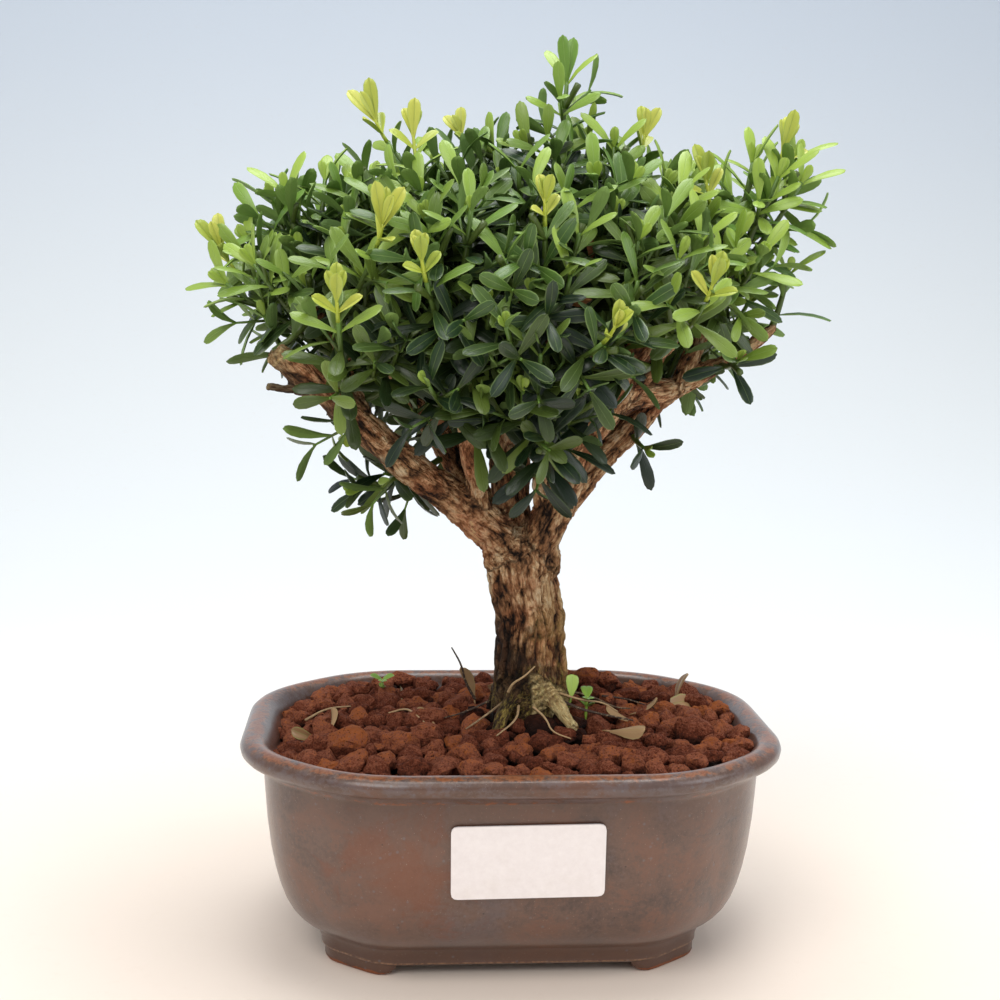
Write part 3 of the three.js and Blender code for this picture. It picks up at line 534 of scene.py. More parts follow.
def glaze_look(colours):
    """Satin stoneware glaze: grey-brown, with rust where it is thin, blue bloom, pale and dark specks."""
    look = Look("glaze")
    height = look.position("Z")
    broad = look.noise(0.028, 3, 0.5, 0.3)
    cloud = look.noise(0.075, 6, 0.62, 0.5)
    drift = look.noise(0.2, 7, 0.72, 0.4, at=look.stretched((1, 1, 1.7)))
    fine = look.noise(0.85, 6, 0.75)
    shade = cloud * 0.5 + fine * 0.3 + drift * 0.2
    body = look.ramp(shade, (0.38, colours.glaze_dark), (0.5, colours.glaze),
                     (0.6, shaded(colours.glaze, 1.2)))
    blue = look.between(broad * -0.6 - cloud * 0.4 + (fine - 0.5) * 0.24 + 1, 0.49, 0.58)
    body = look.mix(blue * 0.45, body, colours.glaze_blue)

    from_thin = look.distance(THIN_GLAZE) + (cloud - 0.5) * 90 + (fine - 0.5) * 22
    thin = 1 - look.between(from_thin, 4, 20)
    rust = look.between(broad * 0.5 + cloud * 0.5 + (fine - 0.5) * 0.25, 0.53, 0.61)
    body = look.mix(thin * 0.55 + rust * 0.26, body, colours.glaze_rust)

    ragged = (look.noise(0.3, 6, 0.7) - 0.5) * 2.6 + (fine - 0.5) * 1.6
    # Painted shade: the wall is darkened in the plinth's colour low down, above the plinth, and under the
    # lip.
    painted_low_shade = 1 - look.between(height + ragged * 2, 7, 22)
    painted_shade_under_lip = look.between(height + ragged * 0.8, 38, 51)
    body = look.mix(painted_low_shade * 0.4 + painted_shade_under_lip * 0.42, body, colours.glaze_plinth_and_shade)
    plinth = 1 - look.between(height + ragged * 0.5, 6.8, 9.4)
    body = look.mix(plinth * 0.6, body, colours.glaze_plinth_and_shade)
    bloom = look.between(drift + (fine - 0.5) * 0.4, 0.46, 0.58) * look.between(height, 51, 53)
    body = look.mix(bloom * 0.5, body, colours.glaze_blue)

    lip_edge = look.between(height + ragged * 0.5, 58.6, 60.0)
    bead = 1 - look.between(abs(height + ragged * 0.3 - BEAD_Z), 0.2, 1.0)
    foot_line = 1 - look.between(abs(height + ragged * 0.08 - FOOT_LINE_Z), 0.1, 0.4)
    sole = 1 - look.between(height + ragged * 0.25, -0.7, 0.5)
    wear = lip_edge * 0.7 + bead * 0.5 + sole + (0.5 - drift) * 3 + (fine - 0.5) * 0.8
    edges = look.between(lip_edge + bead + sole + bloom * 0.2, 0, 0.6)
    body = look.mix(look.between(wear, 0.45, 0.8) * edges * 0.75, body, colours.glaze_edge)
    # Painted highlight: a pale line along the lip's top; with it the pale line where the feet meet the
    # plinth.
    pale = (lip_edge * 0.22 + foot_line * 0.4) * look.between(fine, 0.4, 0.6)
    body = look.mix(pale, body, paint(190, 146, 108))

    fleck = 1 - look.between(look.cells(0.34), 0.08, 0.18)
    pale_speck = 1 - look.between(look.cells(1.2), 0.05, 0.15)
    dark_speck = 1 - look.between(look.cells(0.21), 0.03, 0.07)
    body = look.mix(fleck * look.between(cloud, 0.45, 0.55) * 0.3, body, paint(104, 110, 118))
    body = look.mix(pale_speck * look.between(fine, 0.44, 0.56) * 0.5, body, paint(170, 154, 144))
    body = look.mix(dark_speck * 0.7, body, paint(40, 28, 24))
    relief = fine * 0.35 + cloud * 0.8 + dark_speck * -0.5 + pale_speck * 0.1
    look.set(Base_Color=body, Roughness=0.24 + fine * 0.16 + sole * 0.35, Coat_Weight=0.45 - sole * 0.45,
             Normal=look.bump(relief, 0.24, 0.6), Coat_Roughness=0.22, Specular_IOR_Level=0.4)
    return look


def paper_look():
    """White coated sticker paper, with the faintest mottle and a slightly darker foot."""
    look = Look("label_paper")
    mottle = look.noise(0.5, 5, 0.7)
    # soil: the paper grows slightly darker towards its foot.
    soil = look.between(look.noise(0.12, 4) + (40 - look.position("Z")) * 0.008, 0.55, 0.9)
    colour = look.ramp(mottle, (0.3, paint(234, 226, 225)), (0.7, paint(242, 235, 234)))
    colour = look.mix(soil * 0.35, colour, paint(222, 212, 204))
    look.set(Base_Color=colour, Roughness=0.38 + mottle * 0.14, Normal=look.bump(mottle, 0.05, 0.4),
             Coat_Weight=0.15, Coat_Roughness=0.3)
    return look


def screen_look():
    """Black moulded plastic with lime dust."""
    look = Look("screen_plastic")
    dust = look.between(look.noise(0.6, 5, 0.7), 0.5, 0.75)
    look.set(Base_Color=look.mix(dust * 0.4, paint(34, 36, 38), paint(120, 110, 98)),
             Roughness=0.45 + dust * 0.3, Normal=look.bump(look.noise(3, 3), 0.08, 0.5))
    return look


def grain_look(colours):
    """Lava grains: red-brown, rough and pitted, each of a tone of its own, with painted shade in their
    pits, under them and in their gaps.
    """
    look = Look("lava_grains")
    tone = look.attribute("tone")
    coarse = look.noise(0.55, 6, 0.7)
    fine = look.noise(2.2, 5, 0.75)
    pits = look.cells(1.0, at=look.warped(look.place, 1.4, 0.8))
    shade = tone * 0.8 + (coarse - 0.5) * 1.3 + (fine - 0.5) * 1.1 + 0.14
    colour = look.ramp(shade, (0.0, shaded(colours.grain, 0.2)), (0.28, shaded(colours.grain, 0.62)),
                       (0.5, colours.grain), (0.78, colours.grain_light), (1.0, colours.grain_orange))
    # Painted shade: the pits are darkened.
    pit_shade = (1 - look.between(pits, 0.12, 0.34)) * look.between(fine, 0.42, 0.52)
    colour = look.mix(pit_shade * 0.8, colour, paint(40, 15, 10))
    # Low tones are dark humus near the trunk, and painted shade under the grains and in the gaps between
    # them.
    dark_soil_and_shade = 1 - look.between(tone, -0.45, -0.1)
    colour = look.mix(dark_soil_and_shade * 0.88, colour, paint(22, 13, 10))
    dusty = look.between(look.noise(1.4, 5, 0.7) + (coarse - 0.5) * 0.4, 0.62, 0.74)
    colour = look.mix(dusty * 0.4 * (1 - dark_soil_and_shade), colour, paint(214, 158, 120))
    relief = coarse * 1.1 + fine * 0.8 + look.between(pits, 0.05, 0.4) * 0.4
    look.set(Base_Color=colour, Roughness=0.92 - dark_soil_and_shade * 0.3, Normal=look.bump(relief, 1.3),
             Specular_IOR_Level=0.2)
    return look


def bark_look(colours):
    """Corky bark: flaking plates with dark fissures between them, mossy and stained at its foot."""
    look = Look("bark")
    grain, relief, cut = look.attribute("grain", "Vector"), look.attribute("relief"), look.attribute("cut")
    edges, tones = [], []
    for scale, at in ((0.3, look.warped(grain, 0.5, 2.2)), (0.9, look.warped(grain, 0.9, 1.4))):
        edges.append(look.cells(scale, "DISTANCE_TO_EDGE", at))
        tones.append(look.cells(scale, at=at, output="Color"))
    (plate_edge, flake_edge), (plate_tone, flake_tone) = edges, tones
    fibre = look.noise(1.6, 6, 0.75, 0.3, at=grain)
    broad = look.noise(0.07, 4, 0.6)
    height, sideways = look.position("Z"), look.position("X")
    crack = 1 - look.between(plate_edge + (fibre - 0.5) * 0.1, 0.01, 0.11)
    nick = 1 - look.between(flake_edge + (fibre - 0.5) * 0.12, 0.0, 0.12)
    patch = look.noise(0.15, 3, 0.5)
    shade = (relief * 0.74 + (fibre - 0.5) * 0.9 + (plate_tone - 0.5) * 0.26 + (flake_tone - 0.5) * 0.22
             + (patch - 0.5) * 1.0 - crack * 0.2 - nick * 0.06 + 0.06)
    colour = look.ramp(shade, (0.06, colours.fissure), (0.27, shaded(colours.bark, 0.4)),
                       (0.48, colours.bark), (0.68, colours.bark_pale), (0.88, paint(232, 206, 168)))
    colour = look.mix(look.between(broad, 0.42, 0.62) * 0.4, colour, paint(150, 80, 40), "OVERLAY")
    tan = 1 - look.between(height + (broad - 0.5) * 30 - sideways * 1.2, 66, 92)
    colour = look.mix(tan * look.between(relief, 0.3, 0.8) * 0.5, colour, paint(168, 138, 78))
    stain = 1 - look.between(height + (look.noise(0.12, 5, 0.65) - 0.5) * 50 + sideways * 1.3, 78, 94)
    colour = look.mix(stain * (1 - relief * 0.15) * 0.92, colour, paint(27, 17, 10))
    moss = 1 - look.between(height + (look.noise(0.2, 5, 0.7) - 0.5) * 34 - sideways * 0.5, 60, 74)
    tufts = look.between(fibre + flake_tone * 0.2, 0.56, 0.7)
    colour = look.mix(moss * tufts * 0.7, colour, paint(172, 150, 72))
    bare_wood = look.ramp(fibre, (0.35, paint(190, 148, 88)), (0.6, paint(240, 218, 160)))
    colour = look.mix(cut * 0.9, colour, bare_wood)
    tooth = (fibre * 0.8 + look.between(plate_edge, 0, 0.2) * 0.9 + look.between(flake_edge, 0, 0.16) * 0.5
             + flake_tone * 0.3)
    look.set(Base_Color=colour, Roughness=0.86 - stain * 0.15, Normal=look.bump(tooth, 0.9),
             Specular_IOR_Level=0.25)
    return look


def leaf_look(name, dark, light, young, under):
    """A leathery leaf: bluish gloss above, pale below, a pale midrib and rim, fine side veins."""
    look = Look(name)
    leaf, tone, age = look.attribute("leaf", "Vector"), look.attribute("tone"), look.attribute("age")
    u, v = (look.number("ShaderNodeSeparateXYZ", {}, {"Vector": leaf}, axis) for axis in "XY")
    below = look.between(v, 1.4, 1.6)
    along = v - below * 2
    aside = abs(u - 0.5) * 2
    mottle = look.noise(0.35, 4, 0.6)
    middle = tuple(d * 0.55 + l * 0.45 for d, l in zip(dark, light))
    # On the green sprays the tone holds painted light and shade: low tones take a shaded copy of the dark
    # colour, high tones the lit one.
    colour = look.ramp(tone + (mottle - 0.5) * 0.3, (0.0, shaded(dark, 0.42)), (0.3, dark), (0.64, middle),
                       (1.0, light))
    colour = look.mix(look.between(age, 0.0, 1.0), colour, young)
    rib = 1 - look.between(aside + along * 0.02, 0.03, 0.1)
    rim = look.between(aside, 0.8, 0.94) * look.between(along, 0.1, 0.3)
    base = 1 - look.between(along, 0.0, 0.3)
    veins = (along * 62 - aside * 16).sine()
    pale = (rib * 0.35 + rim * 0.42) * look.between(tone, -0.3, 0.5)
    colour = look.mix(pale, colour, paint(150, 178, 96))
    colour = look.mix(base * 0.2, colour, young)
    colour = look.mix(below * 0.75 * look.between(tone, -0.5, 0.5), colour, under)
    dead = 1 - look.between(age, -0.6, -0.2)
    brown = look.ramp(mottle, (0.3, paint(96, 50, 26)), (0.7, paint(176, 116, 70)))
    relief = rib * -1.2 + veins * 0.12 + mottle * 0.4
    look.set(Base_Color=look.mix(dead, colour, brown), Normal=look.bump(relief, 0.14, 0.5),
             Roughness=0.36 + mottle * 0.14 + below * 0.2 + dead * 0.2, Specular_IOR_Level=0.36,
             Coat_Weight=0.28 - below * 0.24, Coat_Roughness=0.25)
    return look


def stem_look(name, green, brown):
    """A young stem: green near its leaves, corky brown further down and pale where cut, by its tone."""
    look = Look(name)
    tone = look.attribute("tone")
    fibre = look.noise(1.3, 5, 0.7)
    colour = look.mix(look.between(tone + (fibre - 0.5) * 0.5, 0.25, 0.75), brown, green)
    colour = look.mix(look.between(fibre, 0.52, 0.66) * 0.45, colour, paint(212, 182, 140))
    colour = look.mix(1 - look.between(tone, -3.2, -2.4), colour, paint(240, 210, 174))
    look.set(Base_Color=colour, Roughness=0.6 + fibre * 0.2, Normal=look.bump(fibre, 0.3, 0.7))
    return look


# Pot


def pot_outline(inset, steps=11):
    """The rim, a chamfered rectangle with round corners, moved inwards by an inset."""
    x, y = POT_WIDTH / 2 - inset, POT_DEPTH / 2 - inset
    cx, cy = (side - CHAMFER_SHRINK * inset for side in CHAMFER)
    half = [Vector(p) for p in ((x, cy - y), (x, y - cy), (x - cx, y), (cx - x, y))]
    corners = half + [-corner for corner in half]
    points = []
    for i, corner in enumerate(corners):
        ends = []
        for other in (corners[i - 1], corners[(i + 1) % 8]):
            reach = min(CORNER_ROUND - ROUND_SHRINK * inset, (other - corner).length / 2 - 0.05)
            ends.append(corner + (other - corner).normalized() * reach)
        for k in range(steps + 1):
            points.append(bend(ends[0], corner, ends[1], k / steps))
    return points


def inside_pot(x, y, inset):
    """Whether a point lies within the rim's outline, moved inwards by an inset."""
    points = pot_outline(inset, 4)
    return all((b - a).cross(Vector((x, y)) - a) > 0 for a, b in zip(points, points[1:] + points[:1])
               if (b - a).length > 1e-6)


def pot_feet(bm):
    """Four feet under the corners, each a rounded bar swept along the pot's base line."""
    line = pot_outline(FOOT_MIDDLE, 10)
    line = [p for a, b in zip(line, line[1:] + line[:1]) for p in (a, a.lerp(b, 1 / 3), a.lerp(b, 2 / 3))]
    for sx, sy in ((1, 1), (-1, 1), (-1, -1), (1, -1)):
        path = [p for p in line if p.x * sx > FOOT_GAP[0] and p.y * sy > FOOT_GAP[1]]
        path.sort(key=lambda p: math.atan2(p.y * sy - FOOT_GAP[1] + 4, p.x * sx - FOOT_GAP[0] + 4))
        points = []
        for p in path:
            if not points or (p - points[-1]).length > 0.9:
                points.append(p)
        lengths = [0.0]
        for a, b in zip(points, points[1:]):
            lengths.append(lengths[-1] + (b - a).length)
        rings = []
        for i, p in enumerate(points):
            ahead = ahead_at(points, i)
            out = Vector((ahead.y, -ahead.x))
            if out.dot(p) < 0:
                out = -out
            from_end = min(lengths[i], lengths[-1] - lengths[i])
            swell = math.sqrt(max(0.04, 1 - max(0, 1 - from_end / FOOT_HALF) ** 2))
            rings.append([Vector((*(p + out * FOOT_HALF * side * (0.55 + 0.45 * swell)),
                                  FOOT_TOP - (FOOT_TOP - z) * swell)) for side, z in FOOT_SECTION])
        loft(bm, rings)


def make_pot(context):
    bm = bmesh.new()
    rings = [[Vector((p.x, p.y, z)) for p in pot_outline(inset)] for z, inset in POT_WALL]
    loft(bm, rings)
    body = object_of(bm, "glazed_pot")
    bm = bmesh.new()
    for side in (-1, 1):
        spot = Matrix.Translation((side * DRAIN_X, 0, 6))
        bmesh.ops.create_cone(bm, cap_ends=True, segments=40, radius1=DRAIN_RADIUS, radius2=DRAIN_RADIUS,
                              depth=12, matrix=spot)
    drains = object_of(bm, "drain_cut")
    cut = body.modifiers.new("drains", "BOOLEAN")
    cut.operation, cut.solver, cut.object = "DIFFERENCE", "EXACT", drains
    apply_modifiers(body)
    bpy.data.objects.remove(drains)
    bm = bmesh.new()
    pot_feet(bm)
    bmesh.ops.transform(bm, matrix=TO_FRAME, verts=bm.verts)
    bm.from_mesh(body.data)
    for edge in bm.edges:
        if len(edge.link_faces) == 2 and edge.calc_face_angle() > SHARP:
            edge.smooth = False
    bm.to_mesh(body.data)
    bm.free()
    settle(body, [glaze_look(context.scene.bonsai_pot)], ["pot"])
    for node, look in (("label", paper_look()), ("drain_screen_left", screen_look()),
                       ("drain_screen_right", screen_look())):
        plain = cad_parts[node]
        plain.data.materials.clear()
        plain.data.materials.append(look.material)


# Soil


STONE_KINDS = 16  # different lumps of each size
LARGE_GRAIN = 2.7  # radius from which a grain gets a finer mesh
SPACING = 0.84  # how near two grains may come, as a share of their two radii
CELL = 9  # side of the squares in which neighbours are looked up


def rough_stone(number, detail):
    """A lump from a ball: broken off along nine planes and then roughened."""
    bm = bmesh.new()
    bmesh.ops.create_icosphere(bm, subdivisions=detail, radius=1)
    for k in range(9):
        plane = on_ball(TURN * draw(number, k, 81), 2 * draw(number, k, 82) - 1)
        cut = 0.56 + 0.3 * draw(number, k, 83)
        for vert in bm.verts:
            beyond = vert.co.dot(plane) - cut
            if beyond > 0:
                vert.co -= plane * beyond * 0.92
    for vert in bm.verts:
        vert.co *= 1 + 0.34 * noise.noise(vert.co * 1.3 + Vector((number * 7.3, 0, 0)))
        vert.co += noise.noise_vector(vert.co * 3.1 + Vector((0, number * 5.1, 3))) * 0.13
        vert.co += noise.noise_vector(vert.co * 7.0 + Vector((number * 3.7, 0, 8))) * 0.06 * (detail - 2)
        vert.co *= 1.12
    bm.verts.layers.float.new("tone")
    return mesh_of(bm, "stone")


def scatter(sizes, tries, taken, seed, inset):
    """Places for grains: (x, y, radius), none nearer another than most of their two radii."""
    near = {}
    for spot in taken:
        near.setdefault((int(spot[0] // CELL), int(spot[1] // CELL)), []).append(spot)
    found = []
    for i in range(tries):
        radius = sizes[0] + (sizes[1] - sizes[0]) * draw(seed, i, 1) ** 1.5
        x = (draw(seed, i, 2) - 0.5) * (POT_WIDTH - 2 * inset)
        y = (draw(seed, i, 3) - 0.5) * (POT_DEPTH - 2 * inset)
        column, row = int(x // CELL), int(y // CELL)
        squares = [(column + a, row + b) for a in (-1, 0, 1) for b in (-1, 0, 1)]
        around = [spot for square in squares for spot in near.get(square, [])]
        if any(math.hypot(x - s[0], y - s[1]) < SPACING * (radius + s[2]) for s in around):
            continue
        if inside_pot(x, y, inset + radius * 0.7):
            near.setdefault((column, row), []).append((x, y, radius))
            found.append((x, y, radius))
    return found


# Grains that lie on top of the others, most of them heaped up behind the trunk, to its right: x, y,
# radius and how far each is lifted.
HEAP = [(25, 19, 3.5, 8.6), (31, 20, 3.1, 7.2), (21, 25, 3.2, 7.4), (27, 15, 3.4, 4.2), (33, 25, 3.2, 4.4),
        (22, 30, 3.0, 4.2), (37, 18, 3.0, 4.0), (17, 21, 3.2, 4.6), (43, 21, 2.9, 3.2), (30, 11, 2.9, 3.0),
        (27, 24, 3.3, 5.0), (46, 13, 2.8, 3.0), (-26, 16, 2.9, 2.6), (-34, 8, 2.7, 2.6), (40, 3, 2.9, 2.6)]


def make_soil(context):
    sizes = context.scene.bonsai_soil
    stones = [rough_stone(i, 3) for i in range(STONE_KINDS)]
    pebbles = [rough_stone(20 + i, 2) for i in range(STONE_KINDS)]
    large = scatter((LARGE_GRAIN, sizes.grain_size / 2), 3200, [], 3, 8.2)
    medium = scatter((1.7, 2.6), 4200, large, 5, 8.0)
    small = scatter((0.9, 1.5), 3200, large + medium, 7, 8.0)
    bm = bmesh.new()
    for number, (x, y, radius, extra) in enumerate([(*g, 0) for g in large + medium + small] + HEAP):
        new = stamp(bm, (stones if radius > LARGE_GRAIN else pebbles)[number % STONE_KINDS])
        tone = bm.verts.layers.float["tone"]
        from_trunk = math.hypot(x - 5, y + 4)
        shade = 0.2 + 0.6 * draw(number, 31) + (0.4 if draw(number, 32) > 0.94 else 0)
        if from_trunk < 13 + 6 * draw(number, 33) and (radius < 2.5 or draw(number, 40) > 0.4):
            shade = -0.5 + 0.3 * draw(number, 34)
        turn = (Matrix.Rotation(TURN * draw(number, 35), 4, "Z")
                @ Matrix.Rotation(TURN * draw(number, 36), 4, "X"))
        flat = Matrix.Diagonal((1 + sway(0.3, number, 37), 1 + sway(0.3, number, 38), 0.84, 1))
        sunk = 1.5 if radius < 1.6 else 0.5 if radius < LARGE_GRAIN else 0
        lift = extra + 3.0 * (draw(number, 39) - 0.42) - sunk
        spot = Matrix.Translation((x, y, soil_height(x, y) + lift))
        bmesh.ops.transform(bm, matrix=spot @ flat @ turn @ Matrix.Scale(radius * 1.1, 4), verts=new)
        middle = spot.translation.z
        # Painted light and shade: each grain is lighter on its top and darker on its lower side.
        for vert in new:
            rise = (vert.co.z - middle) / radius
            vert[tone] = shade + 0.22 * rise - 0.62 * ease(0.3, -0.3, rise)
    # The bed under the grains, painted dark as the shade in the gaps between them.
    bed_rings = [[Vector((p.x, p.y, 52)) for p in pot_outline(10.6, 8)]]
    for share in (1, 0.8, 0.6, 0.45, 0.3, 0.15, 0.04):
        bed_rings.append([Vector((p.x * share, p.y * share, soil_height(p.x * share, p.y * share) - 3.4))
                          for p in pot_outline(8.3 if share == 1 else 8.2, 8)])
    verts, _ = loft(bm, bed_rings)
    for vert in verts:
        vert[bm.verts.layers.float["tone"]] = -0.4
    settle(object_of(bm, "lava_grains"), [grain_look(sizes)], ["soil"], smooth=False)


# Wood


TRUNK_SIDES = 28
BRANCH_SIDES = 14
SKIN_CELL = 0.00072  # size of the cells that melt the branches into one skin, in metres


def wood_lines():
    """For every branch and the trunk: points each millimetre or so, and the radius at each."""
    lines = {}
    for name, (points, first, last) in BRANCHES.items():
        span = sum((Vector(b) - Vector(a)).length for a, b in zip(points, points[1:]))
        count = max(6, int(span / 1.2))
        line = [branch_point(name, i / count) for i in range(count + 1)]
        lines[name] = (line, [first + (last - first) * i / count for i in range(count + 1)])
    line, radii = [], []
    for (x0, z0, r0), (x1, z1, r1) in zip(TRUNK_RINGS, TRUNK_RINGS[1:]):
        steps = max(1, int((z1 - z0) / 1.5))
        for i in range(steps):
            t = i / steps
            line.append(Vector((x0 + (x1 - x0) * t, 0, z0 + (z1 - z0) * t)))
            radii.append(r0 + (r1 - r0) * ease(0, 1, t))
    lines["trunk"] = (line, radii)
    return lines


def trunk_ring(centre, radius, k):
    """A lobed ring, because boxwood grows in strands that run down into the roots."""
    ring = []
    for i in range(TRUNK_SIDES):
        a = 2 * math.pi * i / TRUNK_SIDES
        twist = a + (centre.z - 60) * 0.006
        lobes = 1 + 0.08 * math.sin(3 * twist + 0.4 + 0.1 * k) + 0.06 * math.sin(5 * twist + 2 - 0.15 * k)
        reach = radius * lobes
        ring.append(centre + Vector((reach * math.cos(a), 0.94 * reach * math.sin(a), 0)))
    return ring


PEELED = 1  # added to how near a cut is, on a root that has lost its bark


def bareness(near_cut, past):
    """How bare the wood is: near a cut, and most on the face past the branch's end."""
    if near_cut >= PEELED + 0.01:
        return near_cut - PEELED
    return near_cut if past > 0.4 else near_cut * 0.3


def make_wood(context):
    sizes = context.scene.bonsai_wood
    lines = wood_lines()
    bm = bmesh.new()
    for name, (line, radii) in lines.items():
        if name == "trunk":
            loft(bm, [trunk_ring(p, r, 9 * (p.z - 42) / 75) for p, r in zip(line, radii)])
            continue
        knots = [1 + 0.1 * noise.noise(p * 0.11 + Vector((5, 0, 0))) + 0.05 * noise.noise(p * 0.35)
                 for p in line]
        tube(bm, line, [r * k for r, k in zip(radii, knots)], BRANCH_SIDES)
    piece = object_of(bm, "bark_wood")
    remesh = piece.modifiers.new("skin", "REMESH")
    remesh.mode, remesh.voxel_size, remesh.adaptivity = "VOXEL", SKIN_CELL, 0
    soften = piece.modifiers.new("soften", "SMOOTH")
    soften.factor, soften.iterations = 0.5, 6
    apply_modifiers(piece)

    stations = []
    for order, (name, (line, radii)) in enumerate(lines.items()):
        run = 0.0
        for i, (point, radius, axes) in enumerate(zip(line, radii, steady_frames(line))):
            run += (point - line[i - 1]).length if i else 0
            share = i / (len(line) - 1)
            near_cut = ease(0.93, 1.0, share) if name in CUT_ENDS else 0
            if name == "root_cut":
                near_cut = PEELED + ease(0.3, 0.6, share)
            stations.append((point, radius, axes, run, order, near_cut))
    tree = kdtree.KDTree(len(stations))
    for i, station in enumerate(stations):
        tree.insert(station[0], i)
    tree.balance()
    back = TO_FRAME.inverted()
    grain, relief, cuts, moved = [], [], [], []
    for vert in piece.data.vertices:
        spot = back @ vert.co
        near = tree.find_n(spot, 8)
        _, index, _ = min(near, key=lambda n: n[2] - stations[n[1]][1])
        point, radius, (side, other, ahead), run, order, near_cut = stations[index]
        away = spot - point
        q = Vector((away.dot(side), away.dot(other), (run + away.dot(ahead)) * 0.3 + order * 17.0))
        bend = noise.noise_vector(q * 0.22) * 1.3
        plates = ease(0.0, 0.2, abs(noise.noise((q + bend) * 0.42)))
        flakes = ease(0.0, 0.28, abs(noise.noise((q + bend) * 0.95 + Vector((9, 4, 2)))))
        strands = ease(0.0, 0.3, abs(noise.noise(Vector((q.x + bend.x, q.y + bend.y, q.z * 0.6)) * 0.19)))
        height = 0.4 * plates + 0.22 * flakes + 0.38 * strands
        lumps = noise.noise(spot * 0.13) * 0.9 + noise.noise(spot * 0.32) * 0.45
        size = min(1.0, radius / 9)
        depth = sizes.bark_depth * (0.28 + 0.72 * size)
        reach = depth * (height - 0.62) + lumps * (0.25 + 0.75 * size) * 0.8
        moved.append(vert.co + vert.normal * reach * 0.001)
        grain.extend(q)
        relief.append(height)
        cuts.append(bareness(near_cut, away.dot(ahead)))
    for vert, place in zip(piece.data.vertices, moved):
        vert.co = place
    piece.data.attributes.new("grain", "FLOAT_VECTOR", "POINT").data.foreach_set("vector", grain)
    for name, values in (("relief", relief), ("cut", cuts)):
        piece.data.attributes.new(name, "FLOAT", "POINT").data.foreach_set("value", values)
    settle(piece, [bark_look(sizes)], ["trunk"])


# Leaves


LEAF_STATIONS = (0, 0.2, 0.44, 0.68, 0.85, 0.95, 1.0)  # along a blade, from its stalk
LEAF_ROWS = len(LEAF_STATIONS) - 1
# Half a blade's width at each station, as a share of the whole width.
LEAF_HALVES = (0.08, 0.18, 0.37, 0.49, 0.44, 0.29, 0.11)
FRESH_HALVES = (0.1, 0.21, 0.39, 0.49, 0.43, 0.28, 0.1)
HEART_HALVES = (0.06, 0.22, 0.4, 0.5, 0.48, 0.38, 0.2)


def leaf_form(name, halves, fold, thickness=0.5, columns=4):
    """A closed blade from a grid: narrowed, folded up along its rib, vaulted on both sides of it,
    doubled and welded at its rim. X is a share of the width, Y of the length, Z in millimetres.
    Its map's V is 2 more below."""
    bm = bmesh.new()
    mapped = bm.loops.layers.uv.new("leaf")
    bmesh.ops.create_grid(bm, x_segments=columns, y_segments=LEAF_ROWS, size=0.5)
    for face in bm.faces:
        for loop in face.loops:
            row = round((loop.vert.co.y + 0.5) * LEAF_ROWS)
            loop[mapped].uv = (loop.vert.co.x + 0.5, LEAF_STATIONS[row])
    for vert in bm.verts:
        u, row = vert.co.x * 2, round((vert.co.y + 0.5) * LEAF_ROWS)
        half = halves[row]
        round_off = {LEAF_ROWS: 0.035, LEAF_ROWS - 1: 0.012}.get(row, 0) * u * u
        notch = 0.012 * (1 - abs(u)) if row == LEAF_ROWS else 0
        vault = 3.2 * half * abs(u) * (0.86 - abs(u))
        fold_rise = fold * abs(u) * half * 4.8
        vert.co = Vector((u * half, LEAF_STATIONS[row] - round_off - notch, fold_rise + vault))
    made = bmesh.ops.duplicate(bm, geom=bm.verts[:] + bm.edges[:] + bm.faces[:])["geom"]
    below = [g for g in made if isinstance(g, bmesh.types.BMFace)]
    for vert in {v for face in below for v in face.verts if not v.is_boundary}:
        vert.co.z -= thickness
    for face in below:
        for loop in face.loops:
            loop[mapped].uv.y += 2
    bmesh.ops.reverse_faces(bm, faces=below)
    bmesh.ops.remove_doubles(bm, verts=bm.verts, dist=1e-5)
    under = {face for face in bm.faces if face.loops[0][mapped].uv.y > 1.5}
    for edge in bm.edges:
        if len({face in under for face in edge.link_faces}) == 2:
            edge.smooth = False
    bm.verts.layers.float.new("tone")
    bm.verts.layers.float.new("age")
    return mesh_of(bm, name)


def add_leaf(bm, form, stem, pose, tone, age, arch=0.16, roll=0.0, turned=0.0):
    """One leaf. Its pose is its place along the stem, turn about it, angle off it, length and width;
    turned says how much its upper side turns to the window."""
    along, turn, angle, length, width = pose
    ahead = stem.tangent(along)
    out = off_stem(ahead, turn, angle)
    up = ahead + WINDOW * turned
    up = (up - out * up.dot(out)).normalized()
    up = up * math.cos(roll) + out.cross(up) * math.sin(roll)
    flank = out.cross(up)
    root = stem.point(along)
    new = stamp(bm, form)
    tones, ages = bm.verts.layers.float["tone"], bm.verts.layers.float["age"]
    for vert in new:
        x, y, z = vert.co
        vert.co = (root + out * (y * length - 0.3 * (1 - y)) + flank * (x * width)
                   + up * (z - arch * length * y * y))
        vert[tones], vert[ages] = tone, age


def add_stem(bm, stem, radii, tones, sides=5, steps=6):
    """A stem's tube, with a tone that says how green each end is."""
    points = [stem.point(i / steps) for i in range(steps + 1)]
    widths = [radii[0] + (radii[1] - radii[0]) * i / steps for i in range(steps + 1)]
    piece = bmesh.new()
    tone = piece.verts.layers.float.new("tone")
    verts, faces = tube(piece, points, widths, sides)
    for i, vert in enumerate(verts):
        vert[tone] = tones[0] + (tones[1] - tones[0]) * (i // sides) / steps
    for face in faces:
        face.material_index = 1
    mesh = mesh_of(piece, "stem")
    bm.from_mesh(mesh)
    bpy.data.meshes.remove(mesh)


